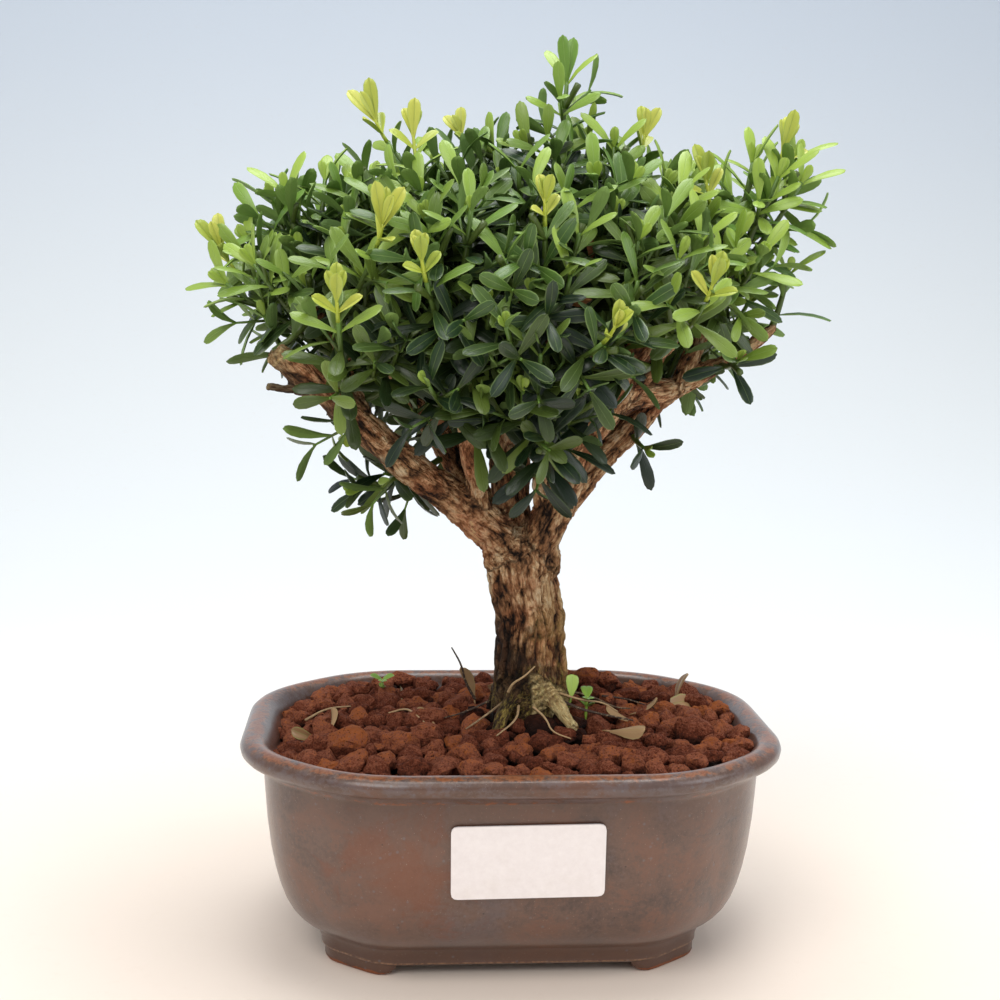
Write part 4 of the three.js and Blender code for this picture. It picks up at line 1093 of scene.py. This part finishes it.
def leaf_pairs(stem, pairs, first, end_gap, size, seed):
    """The poses of pairs of leaves from a stem's end down, each a quarter turn from the one before."""
    poses = []
    for k in range(pairs):
        along = 1 - (end_gap + k * PAIR_STEP) / stem.length
        if along < 0.12:
            break
        for side in (0, 1):
            turn = math.pi * (first + 0.5 * k + side + sway(0.08, seed, k, side, 1))
            angle = LEAF_ANGLES[min(k + (end_gap > 1), len(LEAF_ANGLES) - 1)]
            tilt = math.radians(angle + sway(12, seed, k, side, 2))
            scale = size * (1 + sway(0.24, seed, k, side, 3)) * (0.86 if k == 0 else 1)
            poses.append((along, turn, tilt, LEAF_LENGTH * scale, LEAF_WIDTH * (1 + scale) / 2))
    return poses


def spray_stem(on, at, tip):
    """A spray's stem starts on its branch, bows down a little and turns up at its end."""
    start, end = branch_point(on, at), Vector(tip)
    middle = start.lerp(end, 0.5)
    middle.z -= 0.14 * (end - start).length
    return Stem(start, middle, end)


def crown_reach(direction):
    """How far the crown reaches from its middle in a direction, between the tips of the sprays."""
    total, reach = 0, 0
    for _, _, tip, _ in SPRAYS.values():
        arm = Vector(tip) - CROWN_MIDDLE
        weight = math.exp(16 * (direction.dot(arm.normalized()) - 1))
        total += weight
        reach += weight * arm.length
    return reach / total


def crown_floor(x, y):
    """The lowest that a filling spray may end, so that the arms stay bare below the crown."""
    front = ease(5, -25, y)
    left = 134 + 0.56 * max(0, -x)
    right = 136 + 0.52 * max(0, x)
    return max(left, right) + (24 if x > 0 else 14) * front * ease(4, 30, abs(x))


def filling_sprays(count):
    """More sprays, which close the crown between the main ones: (stem, depth from 0 outside to 1)."""
    starts = []
    for name in BRANCHES:
        if not name.startswith("root"):
            starts += [branch_point(name, at) for at in (0.25, 0.4, 0.55, 0.7, 0.85, 1.0)]
    tips = [Vector(tip) for _, _, tip, _ in SPRAYS.values()]
    found = []
    for layer, (share, gap) in enumerate(LAYERS):
        number = int(count * share)
        for i in range(number):
            z = 1 - 1.5 * (i + 0.5) / number
            direction = on_ball(GOLDEN_ANGLE * i + layer, z)
            reach = crown_reach(direction) * (share + 0.1 * (draw(i, layer, 21) - 0.6))
            if z > 0:
                ceiling = 207 + 9 * draw(i, layer, 22) - 10 * layer
                reach = min(reach, (ceiling - CROWN_MIDDLE.z) / z)
            tip = CROWN_MIDDLE + direction * reach
            if tip.z < crown_floor(tip.x, tip.y) or any((tip - other).length < gap for other in tips):
                continue
            start = min(starts, key=lambda p: (p - tip).length + max(0, p.z + 14 - tip.z) * 2
                        + max(0, 16 - (p - tip).length) * 3)
            aside = Vector((tip.x - CROWN_MIDDLE.x, tip.y - CROWN_MIDDLE.y, 0))
            rise = Vector((0, 0, 1)) + aside * (0.5 / max(aside.length, 25))
            middle = tip - rise.normalized() * 0.52 * (tip - start).length
            tips.append(tip)
            found.append((Stem(start, middle, tip), layer / 2))
    return found


def region_of(tip):
    """The region of the main spray whose tip is nearest."""
    name = min(SPRAYS, key=lambda key: (Vector(SPRAYS[key][2]) - tip).length)
    return "top" if name == "crown" else name.split("_")[0]


def spray_light(point, *keys):
    """Painted light and shade: leaves are lighter high up, at the crown's sides, the right more, and near
    its surface, and dark inside; a tone that differs at random is added.
    """
    arm = point - CROWN_MIDDLE
    near_surface = ease(0.52, 1.02, arm.length / crown_reach(arm.normalized()))
    high = ease(144, 214, point.z)
    sides = ease(28, 60, point.x) * 0.36 + ease(36, 64, -point.x) * 0.18
    return near_surface * (0.98 * high - 0.1 + sides) + 0.3 * (draw(*keys) - 0.42)


def pruned_stub(bm, stem, number):
    """What is left of a shoot that was cut off, pale at its end."""
    at = 0.7 + 0.18 * draw(number, 52)
    ahead = stem.tangent(at)
    lean = ahead * 0.85 + across(ahead, TURN * draw(number, 53)) * 0.5 + WINDOW * 0.3
    start = stem.point(at)
    end = start + lean * (4.5 + 3.5 * draw(number, 54))
    add_stem(bm, Stem(start, start.lerp(end, 0.5), end), (0.7, 0.95), (-0.5, -3.6), 6, 4)


def pose_key(pose):
    """A whole number of a leaf's own, from its turn about its stem."""
    return int(pose[1] * 1000) % 9973


def leafy_spray(bm, form, stem, pairs, twigs, first, end_gap, number, depth, bud, youth=0):
    """One spray: its stem, its side twigs, the pairs of leaves on each and the bud at its end."""
    add_stem(bm, stem, (1.1, 0.6), (-1.6, 0.7))
    if depth == 0 and stem.length > 14 and draw(number, 51) > 0.4:
        pruned_stub(bm, stem, number)
    for pose in leaf_pairs(stem, pairs, first, end_gap, 1, number * 100):
        key, at = pose_key(pose), pose[0]
        # tone: painted light and shade, lighter towards the spray's end; lit outer leaves are also painted
        # yellower through their age.
        tone = spray_light(stem.point(at), number, key) + 0.34 * (ease(0.5, 0.97, at) - 0.62)
        lit_outer = ease(0.5, 0.95, at) * max(0, tone)
        age = youth * (0.4 + 0.9 * at ** 3) + 0.45 * lit_outer + 0.3 * draw(number, key, 6) ** 3
        if depth > 0.4 and draw(number, key, 5) > 0.965:
            age = -1
        arch = 0.16 + 0.3 * draw(number, key, 7) - 0.12 * youth
        add_leaf(bm, form, stem, pose, tone, age, arch, sway(0.5, number, key, 3), 1.6 * youth)
    for k, (at, turn, length) in enumerate(twigs):
        out = off_stem(stem.tangent(at), turn, TWIG_ANGLE)
        start = stem.point(at)
        twig = Stem(start, start + out * length / 2, start + out * length)
        add_stem(bm, twig, (0.6, 0.4), (-0.5, 0.9), 4, 3)
        on_twig = 2 if length < 11 else 3
        for pose in leaf_pairs(twig, on_twig, first, 1, 0.9 - 0.06 * k, number * 100 + 10 + k * 7):
            key = pose_key(pose)
            # tone: painted light and shade; lit leaves are also painted yellower through their age.
            tone = spray_light(twig.point(pose[0]), number, key, k)
            age = youth * 0.8 + 0.3 * max(0, tone) + 0.25 * draw(number, key, 8) ** 3
            arch = 0.16 + 0.3 * draw(number, key, 9)
            add_leaf(bm, form, twig, pose, tone, age, arch, sway(0.5, number, key, 2))
    if bud:
        for side in (0, 1):
            angle = math.radians(9 + 7 * draw(number, side, 44))
            pose = (0.985, math.pi * (first + 0.5 + side), angle, bud, 1.4 + 0.17 * bud)
            add_leaf(bm, form, stem, pose, 0.9, 0.3 if bud == CROWN_BUD else 1, 0.02, 0, 1.5)


def make_foliage(context):
    sizes = context.scene.bonsai_foliage
    form = leaf_form("blade", LEAF_HALVES, 0.03)
    inner = leaf_form("inner_blade", LEAF_HALVES, 0.06, columns=2)
    green = leaf_look("leaf_green", sizes.leaf_dark, sizes.leaf_light, sizes.leaf_young, sizes.leaf_under)
    twig = stem_look("stem_green", sizes.stem_green, sizes.stem_brown)
    shapes = {region: bmesh.new() for region in REGIONS}
    nodes = {region: [] for region in REGIONS}
    for number, (name, (on, at, tip, fresh)) in enumerate(SPRAYS.items()):
        region = region_of(Vector(tip))
        nodes[region].append("spray_" + name)
        stem = spray_stem(on, at, tip)
        first = draw(number, 11) * 2
        turn = 2 * math.pi * draw(number, 7)
        twigs = [(0.55, turn, 13)] if stem.length > 20 else []
        if stem.length > 26:
            twigs += [(0.75, turn + 2.2, 10), (0.38, turn + 4.1, 12)]
        bud = 0 if fresh else CROWN_BUD if name == "crown" else 4 + 3 * draw(number, 45)
        leafy_spray(shapes[region], form, stem, 7, twigs, first, 3 if fresh else 1, number, 0, bud,
                    YOUNG.get(name, 0))
    for k, spray in enumerate(OUTER_SPRAYS):
        stem = spray_stem(*spray)
        twigs = [(0.6, TURN * draw(k, 8), 11)]
        first = draw(k, 12) * 2
        leafy_spray(shapes[region_of(stem.end)], form, stem, 6, twigs, first, 1, 80 + k, 0, 6, 0.3)
    for k, (stem, depth) in enumerate(filling_sprays(sizes.filling)):
        number = 100 + k
        first = draw(number, 11) * 2
        turn = TURN * draw(number, 7)
        twigs = [(0.6, turn, 12)] if stem.length > 18 else []
        if stem.length > 28:
            twigs.append((0.4, turn + 2.4, 13))
        bud = 3.5 + 3 * draw(number, 46) if depth == 0 and draw(number, 47) > 0.45 else 0
        youth = 0.66 * ease(26, 60, stem.end.x) * ease(155, 195, stem.end.z) + 0.3 * draw(number, 48) ** 3
        blade, pairs = inner if depth else form, 5 if depth < 0.9 else 4
        leafy_spray(shapes[region_of(stem.end)], blade, stem, pairs, twigs, first, 1, number, depth, bud,
                    youth)
    for region in REGIONS:
        piece = object_of(shapes[region], "foliage_" + region)
        settle(piece, [green, twig], nodes[region])


def make_fresh(context):
    sizes = context.scene.bonsai_foliage
    form = leaf_form("fresh_blade", FRESH_HALVES, 0.4, 0.4)
    lime = leaf_look("leaf_lime", sizes.lime_dark, sizes.lime_light, sizes.lime_tip, sizes.lime_under)
    twig = stem_look("stem_lime", sizes.lime_dark, sizes.stem_green)
    bm = bmesh.new()
    nodes = []
    for number, (name, (on, at, tip, fresh)) in enumerate(SPRAYS.items()):
        if not fresh:
            continue
        nodes.append("fresh_" + name)
        below = spray_stem(on, at, tip)
        direction = below.tangent(1)
        start = below.end
        lean = direction.lerp(Vector((0, 0, 1)), 0.4).normalized()
        middle = start + direction * 3.5
        stem = Stem(start, middle, middle + lean * 3.5)
        first, seed, size = draw(number, 12) * 2, number * 100 + 50, fresh / 15
        add_stem(bm, stem, (0.6, 0.4), (0.6, 1.2), 5, 4)
        poses = [(a, turn, angle * 0.7, length, width * 1.12)
                 for a, turn, angle, length, width in leaf_pairs(stem, 1, first, 1, size, seed)]
        poses += leaf_pairs(stem, 1, first + 0.5, 4.4, size * 0.8, seed + 10)
        poses += [(1.0, math.pi * (first + 0.5 + side), 0.3, fresh * 0.6, 2.8) for side in (0, 1)]
        for k, pose in enumerate(poses):
            tone, age = 0.3 + 0.6 * draw(number, k, 51), 0.35 + 0.6 * draw(number, k, 52)
            add_leaf(bm, form, stem, pose, tone, age, 0.05, sway(0.3, number, k, 53), 1.4)
    settle(object_of(bm, "fresh_shoots"), [lime, twig], nodes)


# Seedlings and litter


# Seedlings: x and y of the foot, height, length of a leaf, leaves at the top, and turn.
SEEDLINGS = {"seedling_back": (-37, 28, 7, 4.2, 3, 0.4), "seedling_trunk": (21, -3, 7, 5.2, 2, 1.35)}

# Fallen leaves: x and y of the stalk, heading in degrees, length, and rise in radians.
FALLEN = [(27, -16, -38, 12, 0.1), (46, 12, 25, 13, 0.1), (-54, -14, 200, 7, 0.4), (-50, -6, 70, 7, 0.5),
          (52, 20, 60, 9, 1.1), (34, -6, 150, 8, 0.25), (-9, 14, 118, 10, 1.2), (-22, -4, 115, 7, 0.3),
          (38, 4, -20, 7, 0.35), (15, 30, 20, 8, 0.2), (-30, 22, 80, 8, 0.2), (-4, 34, -60, 9, 0.2)]

# Fine roots: points, radius at the start, and tone.
FINE_ROOTS = [
    ([(-9, 8, 63), (-12, 9, 68), (-13, 9, 73), (-16, 10, 78)], 0.5, 0.1),
    ([(-1, -10, 70), (0, -12, 73), (3, -13, 75), (6, -13, 78)], 0.45, 1.0),
    ([(12, -7, 68), (17, -13, 66.5), (24, -15, 65), (33, -18, 64)], 0.6, 0.1),
    ([(14, -4, 68), (20, -8, 67), (26, -6, 66), (30, -9, 64)], 0.45, 0.9),
    ([(6, -11, 66), (9, -17, 64.5), (10, -22, 62), (15, -25, 61)], 0.4, 0.8),
    ([(2, -10, 66), (1, -17, 64), (-5, -22, 61)], 0.45, 0.6),
    ([(-2, -9, 67), (-8, -14, 64), (-13, -17, 61.5)], 0.45, 0.5),
    ([(-6, -5, 66), (-13, -6, 63), (-19, -3, 60.5)], 0.4, 0.1),
    ([(16, 3, 67), (24, 5, 65), (31, 2, 62), (36, 5, 61)], 0.45, 0.4),
    ([(-34, 6, 59.5), (-29, 3, 62), (-26, -2, 61), (-24, -5, 60)], 0.4, 0.7),
    ([(-58, 8, 57), (-52, 12, 59.5), (-45, 12, 60)], 0.45, 0.6),
    ([(-60, -14, 56.5), (-54, -17, 59), (-48, -16, 60)], 0.4, 0.1),
    ([(28, 8, 64), (36, 10, 62.5), (43, 5, 61)], 0.4, 0.2),
]


def make_seedlings(context):
    leaf = leaf_look("seedling_green", paint(98, 140, 44), paint(140, 176, 66), paint(176, 200, 92),
                     paint(150, 176, 92))
    stalk = stem_look("stem_seedling", paint(140, 180, 90), paint(150, 120, 80))
    heart = leaf_form("heart", HEART_HALVES, 0.25, 0.3)
    for name, (x, y, height, size, count, turn) in SEEDLINGS.items():
        bm = bmesh.new()
        low = soil_height(x, y) - 6
        foot, top = Vector((x, y, low)), Vector((x + 1, y - 1, low + 6 + height))
        stem = Stem(foot, foot.lerp(top, 0.5) + Vector((0.4, 0.3, 0)), top)
        add_stem(bm, stem, (0.55, 0.35), (0.2, 1.2), 5, 5)
        for layer, leaves, share in ((0, count, 1.0), (1, 2, 0.55)):
            for i in range(leaves):
                a = turn + 2 * math.pi * i / leaves + layer
                tilt = math.radians(66 - 18 * layer)
                pose = (0.97 - 0.2 * layer, a, tilt, size * share, size * share * 0.66)
                add_leaf(bm, heart, stem, pose, 0.3 + 0.5 * draw(i, layer, 61), 0.2, 0.12)
        if name == "seedling_trunk":
            foot = Vector((16.8, -4, soil_height(16.8, -4) + 3.4))
            sprout = Stem(foot, foot + Vector((0.4, 0, 1.4)), foot + Vector((0.6, 0, 2.8)))
            add_stem(bm, sprout, (0.4, 0.3), (0.8, 1.2), 5, 2)
            add_leaf(bm, heart, sprout, (1, 0.3, 0.24, 6.4, 4.0), 0.7, 0.8, 0.05)
        settle(object_of(bm, name + "_leaves"), [leaf, stalk], [name])


def make_litter(context):
    form = leaf_form("fallen_blade", LEAF_HALVES, 0.45)
    dead = leaf_look("dead_leaf", paint(118, 82, 50), paint(182, 144, 100), paint(208, 176, 130),
                     paint(188, 154, 112))
    twig = stem_look("dead_stem", paint(168, 138, 104), paint(70, 48, 34))
    bm = bmesh.new()
    for k, (x, y, towards, length, rise) in enumerate(FALLEN):
        root = Vector((x, y, soil_height(x, y) + 2.6))
        a = math.radians(towards)
        out = Vector((math.cos(a) * math.cos(rise), math.sin(a) * math.cos(rise), math.sin(rise)))
        stem = Stem(root - out * 2.4, root - out * 1.2, root)
        add_stem(bm, stem, (0.25, 0.3), (0.8, 0.8), 4, 2)
        pose = (1, TURN * draw(k, 71), 0.05, length, 1.6 + 0.25 * length)
        add_leaf(bm, form, stem, pose, 0.1 + 0.7 * draw(k, 72), 0.2, 0.1 + 0.25 * draw(k, 73))
    piece = object_of(bm, "fallen_leaves")
    settle(piece, [dead, twig], ["fallen_leaf_front", "fallen_leaf_right"])
    bm = bmesh.new()
    tone = bm.verts.layers.float.new("tone")
    for points, radius, shade in FINE_ROOTS:
        verts, _ = rod(bm, points, radius)
        for vert in verts:
            vert[tone] = shade
    bark = stem_look("root_bark", paint(186, 154, 112), paint(58, 40, 30))
    settle(object_of(bm, "fine_roots"), [bark])


# Stage


SWEEP_START, SWEEP_RADIUS = 0.4, 1.1  # where the floor begins to sweep up behind, in metres

# Lamps: place and width in metres, power as a share of the key light's, and colour.
LAMPS = {"key": ((-0.45, -0.75, 0.95), 0.8, 1, (1, 0.98, 0.95)),
         "fill": ((0.85, -0.45, 0.55), 0.7, 0.4, (0.93, 0.97, 1)),
         "top": ((0.05, 0.1, 1.1), 0.8, 1.2, (0.97, 0.99, 1))}
LIT_SPOT = Vector((0, 0, 0.12))
CAMERA_PLACE = Vector((-34.9, -414.8, 177.9))
CAMERA_TURNS = ((-4.34, "Z"), (90 - 7.59, "X"), (0.97, "Z"))  # degrees about each axis, in order
CAMERA_LENS = 54


def floor_look(sizes):
    """Matt floor, warmer near the pot, that runs up into the backdrop."""
    look = Look("floor")
    tooth = look.noise(0.25, 6, 0.7)
    near_pot = 1 - look.between(look.distance((0, 0, 0)), 100, 250)
    colour = look.mix(look.between(look.position("Y"), 60, 640), sizes.floor, paint(238, 241, 242))
    colour = look.mix(near_pot * 0.7, colour, paint(244, 225, 208))
    colour = look.mix(look.between(look.position("Z"), 10, 620), colour, sizes.backdrop)
    colour = look.mix(look.between(tooth, 0.55, 0.8) * 0.12, colour, paint(222, 200, 178))
    look.set(Base_Color=colour, Roughness=0.75)
    return look


def make_stage(context):
    scene = context.scene
    sizes = scene.bonsai_stage
    bm = bmesh.new()
    bmesh.ops.create_grid(bm, x_segments=1, y_segments=48, size=1, matrix=Matrix.Diagonal((3, 2.6, 1, 1)))
    for vert in bm.verts:
        run = vert.co.y - SWEEP_START
        if run > 0:
            turn = min(run / SWEEP_RADIUS, math.pi / 2)
            beyond = max(0, run - SWEEP_RADIUS * math.pi / 2)
            vert.co.y = SWEEP_START + SWEEP_RADIUS * math.sin(turn)
            vert.co.z = SWEEP_RADIUS * (1 - math.cos(turn)) + beyond
    floor = bpy.data.objects.new("floor", mesh_of(bm, "floor"))
    floor.data.polygons.foreach_set("use_smooth", [True] * len(floor.data.polygons))
    floor.data.materials.append(floor_look(sizes).material)
    scene.collection.objects.link(floor)
    world = bpy.data.worlds.new("soft_light")
    world.use_nodes = True
    sky = world.node_tree.nodes["Background"]
    sky.inputs["Color"].default_value = (0.93, 0.965, 1.0, 1)
    sky.inputs["Strength"].default_value = sizes.sky
    scene.world = world
    for name, (place, size, share, colour) in LAMPS.items():
        lamp = bpy.data.lights.new(name, "AREA")
        lamp.shape, lamp.size, lamp.energy, lamp.color = "DISK", size, sizes.key * share, colour
        light = bpy.data.objects.new(name, lamp)
        light.location = place
        light.rotation_euler = (LIT_SPOT - light.location).to_track_quat("-Z", "Y").to_euler()
        scene.collection.objects.link(light)
    lens = bpy.data.cameras.new("camera")
    lens.lens, lens.sensor_width, lens.clip_start, lens.clip_end = CAMERA_LENS, 36, 0.01, 20
    camera = bpy.data.objects.new("camera", lens)
    turn = Matrix.Identity(4)
    for degrees, axis in CAMERA_TURNS:
        turn = turn @ Matrix.Rotation(math.radians(degrees), 4, axis)
    camera.matrix_world = Matrix.Translation(TO_FRAME @ CAMERA_PLACE) @ turn
    scene.collection.objects.link(camera)
    scene.camera = camera
    scene.view_settings.view_transform = "Standard"


# Settings, operators and panel


def tint(name, description, colour):
    return FloatVectorProperty(name=name, description=description, default=colour, subtype="COLOR", size=3,
                               min=0, max=1)


class BonsaiPot(bpy.types.PropertyGroup):
    glaze: tint("Glaze", "Colour of the glaze on the wall", paint(98, 74, 63))
    glaze_dark: tint("Dark glaze", "Colour where the glaze runs thick", paint(72, 57, 52))
    glaze_blue: tint("Blue glaze", "Grey-blue bloom in the glaze", paint(98, 88, 90))
    glaze_rust: tint("Rust glaze", "Orange-brown where iron breaks through", paint(122, 68, 40))
    glaze_edge: tint("Edge glaze", "Colour on the lip's edge and the foot", paint(142, 78, 40))
    # The plinth's own colour, also used for the painted shade low on the wall and under the lip.
    glaze_plinth_and_shade: tint("Plinth glaze", "Colour of the dark band over the feet", paint(82, 52, 37))


class BonsaiSoil(bpy.types.PropertyGroup):
    grain_size: FloatProperty(name="Grain size", description="Width of the largest grains in millimetres",
                              default=9.4, min=3, max=12)
    grain: tint("Grain", "Main colour of the lava grains", paint(134, 68, 44))
    grain_light: tint("Light grain", "Colour of dry, worn grains", paint(178, 106, 78))
    grain_orange: tint("Orange grain", "Colour of the few orange grains", paint(198, 112, 62))


class BonsaiWood(bpy.types.PropertyGroup):
    bark_depth: FloatProperty(name="Bark depth", description="Depth of the bark's fissures in millimetres",
                              default=2.0, min=0, max=4)
    bark: tint("Bark", "Main colour of the bark", paint(166, 118, 80))
    bark_pale: tint("Pale bark", "Colour of the bark's dry plates", paint(212, 172, 128))
    fissure: tint("Fissure", "Colour deep in the bark", paint(32, 19, 12))


class BonsaiFoliage(bpy.types.PropertyGroup):
    filling: IntProperty(name="Filling", description="How many places are tried for a filling spray",
                         default=290, min=0, max=600)
    # The dark leaf colour is also the shaded end of the painted light on the crown, and the light one its
    # lit end.
    leaf_dark: tint("Dark leaf", "Colour of old leaves", paint(26, 54, 26))
    leaf_light: tint("Light leaf", "Colour of lit, full-grown leaves", paint(92, 138, 46))
    leaf_young: tint("Young leaf", "Colour of ribs, rims and young leaves", paint(156, 182, 72))
    leaf_under: tint("Leaf underside", "Colour of the undersides", paint(112, 142, 76))
    stem_green: tint("Green stem", "Colour of a young stem", paint(140, 140, 72))
    stem_brown: tint("Brown stem", "Colour of an old stem", paint(172, 132, 94))
    lime_dark: tint("Lime", "Colour of a fresh shoot's lower leaves", paint(118, 154, 40))
    lime_light: tint("Light lime", "Colour of a fresh shoot's upper leaves", paint(172, 184, 54))
    lime_tip: tint("Lime tip", "Colour of the youngest leaves", paint(204, 206, 92))
    lime_under: tint("Lime underside", "Colour of their undersides", paint(150, 170, 66))


class BonsaiStage(bpy.types.PropertyGroup):
    floor: tint("Floor", "Colour of the floor", paint(237, 231, 224))
    backdrop: tint("Backdrop", "Colour of the backdrop high up", paint(226, 235, 247))
    key: FloatProperty(name="Key light", description="Power of the key light", default=7.0, min=0,
                       unit="POWER")
    sky: FloatProperty(name="Sky light", description="Strength of the light from all round", default=0.5,
                       min=0)


class BONSAI_OT_glazed_pot(bpy.types.Operator):
    """Builds the pot with its feet and drains, and finishes its label and screens"""

    bl_idname = "bonsai.glazed_pot"
    bl_label = "Glazed pot"

    def execute(self, context):
        make_pot(context)
        return {"FINISHED"}


class BONSAI_OT_lava_grains(bpy.types.Operator):
    """Scatters the lava grains over their bed"""

    bl_idname = "bonsai.lava_grains"
    bl_label = "Lava grains"

    def execute(self, context):
        make_soil(context)
        return {"FINISHED"}


class BONSAI_OT_bark_wood(bpy.types.Operator):
    """Builds the trunk, branches and roots with their bark"""

    bl_idname = "bonsai.bark_wood"
    bl_label = "Bark and wood"

    def execute(self, context):
        make_wood(context)
        return {"FINISHED"}


class BONSAI_OT_foliage(bpy.types.Operator):
    """Builds the green sprays, one piece for each side of the crown"""

    bl_idname = "bonsai.foliage"
    bl_label = "Green sprays"

    def execute(self, context):
        make_foliage(context)
        return {"FINISHED"}


class BONSAI_OT_fresh_shoots(bpy.types.Operator):
    """Builds the fresh shoots at the ends of the sprays"""

    bl_idname = "bonsai.fresh_shoots"
    bl_label = "Lime shoots"

    def execute(self, context):
        make_fresh(context)
        return {"FINISHED"}


class BONSAI_OT_seedlings(bpy.types.Operator):
    """Builds the two seedlings that grow in the pot"""

    bl_idname = "bonsai.seedlings"
    bl_label = "Seedlings"

    def execute(self, context):
        make_seedlings(context)
        return {"FINISHED"}


class BONSAI_OT_litter(bpy.types.Operator):
    """Builds the dead leaves and fine roots on the grains"""

    bl_idname = "bonsai.litter"
    bl_label = "Fallen leaves and roots"

    def execute(self, context):
        make_litter(context)
        return {"FINISHED"}


class BONSAI_OT_stage(bpy.types.Operator):
    """Builds the floor, the lights and the camera"""

    bl_idname = "bonsai.stage"
    bl_label = "Stage"

    def execute(self, context):
        make_stage(context)
        return {"FINISHED"}


class BONSAI_PT_panel(bpy.types.Panel):
    """Lists the sizes and colours, and a button for each group of pieces"""

    bl_label = "Boxwood Bonsai"
    bl_idname = "BONSAI_PT_panel"
    bl_space_type = "VIEW_3D"
    bl_region_type = "UI"
    bl_category = "Bonsai"

    def draw(self, context):
        for name in SETTINGS:
            box = self.layout.box()
            for prop in SETTINGS[name].__annotations__:
                box.prop(getattr(context.scene, name), prop)
        for operator in STEPS:
            self.layout.operator(operator.bl_idname)


SETTINGS = {
    "bonsai_pot": BonsaiPot,
    "bonsai_soil": BonsaiSoil,
    "bonsai_wood": BonsaiWood,
    "bonsai_foliage": BonsaiFoliage,
    "bonsai_stage": BonsaiStage,
}
STEPS = (
    BONSAI_OT_glazed_pot,
    BONSAI_OT_lava_grains,
    BONSAI_OT_bark_wood,
    BONSAI_OT_foliage,
    BONSAI_OT_fresh_shoots,
    BONSAI_OT_seedlings,
    BONSAI_OT_litter,
    BONSAI_OT_stage,
)


def register():
    for kind in (*SETTINGS.values(), *STEPS, BONSAI_PT_panel):
        bpy.utils.register_class(kind)
    for name, kind in SETTINGS.items():
        setattr(bpy.types.Scene, name, PointerProperty(type=kind))


def unregister():
    for name in SETTINGS:
        delattr(bpy.types.Scene, name)
    for kind in reversed((*SETTINGS.values(), *STEPS, BONSAI_PT_panel)):
        bpy.utils.unregister_class(kind)


def main():
    register()
    for operator in STEPS:
        getattr(bpy.ops.bonsai, operator.bl_idname.split(".")[1])()


if __name__ == "__main__":
    main()
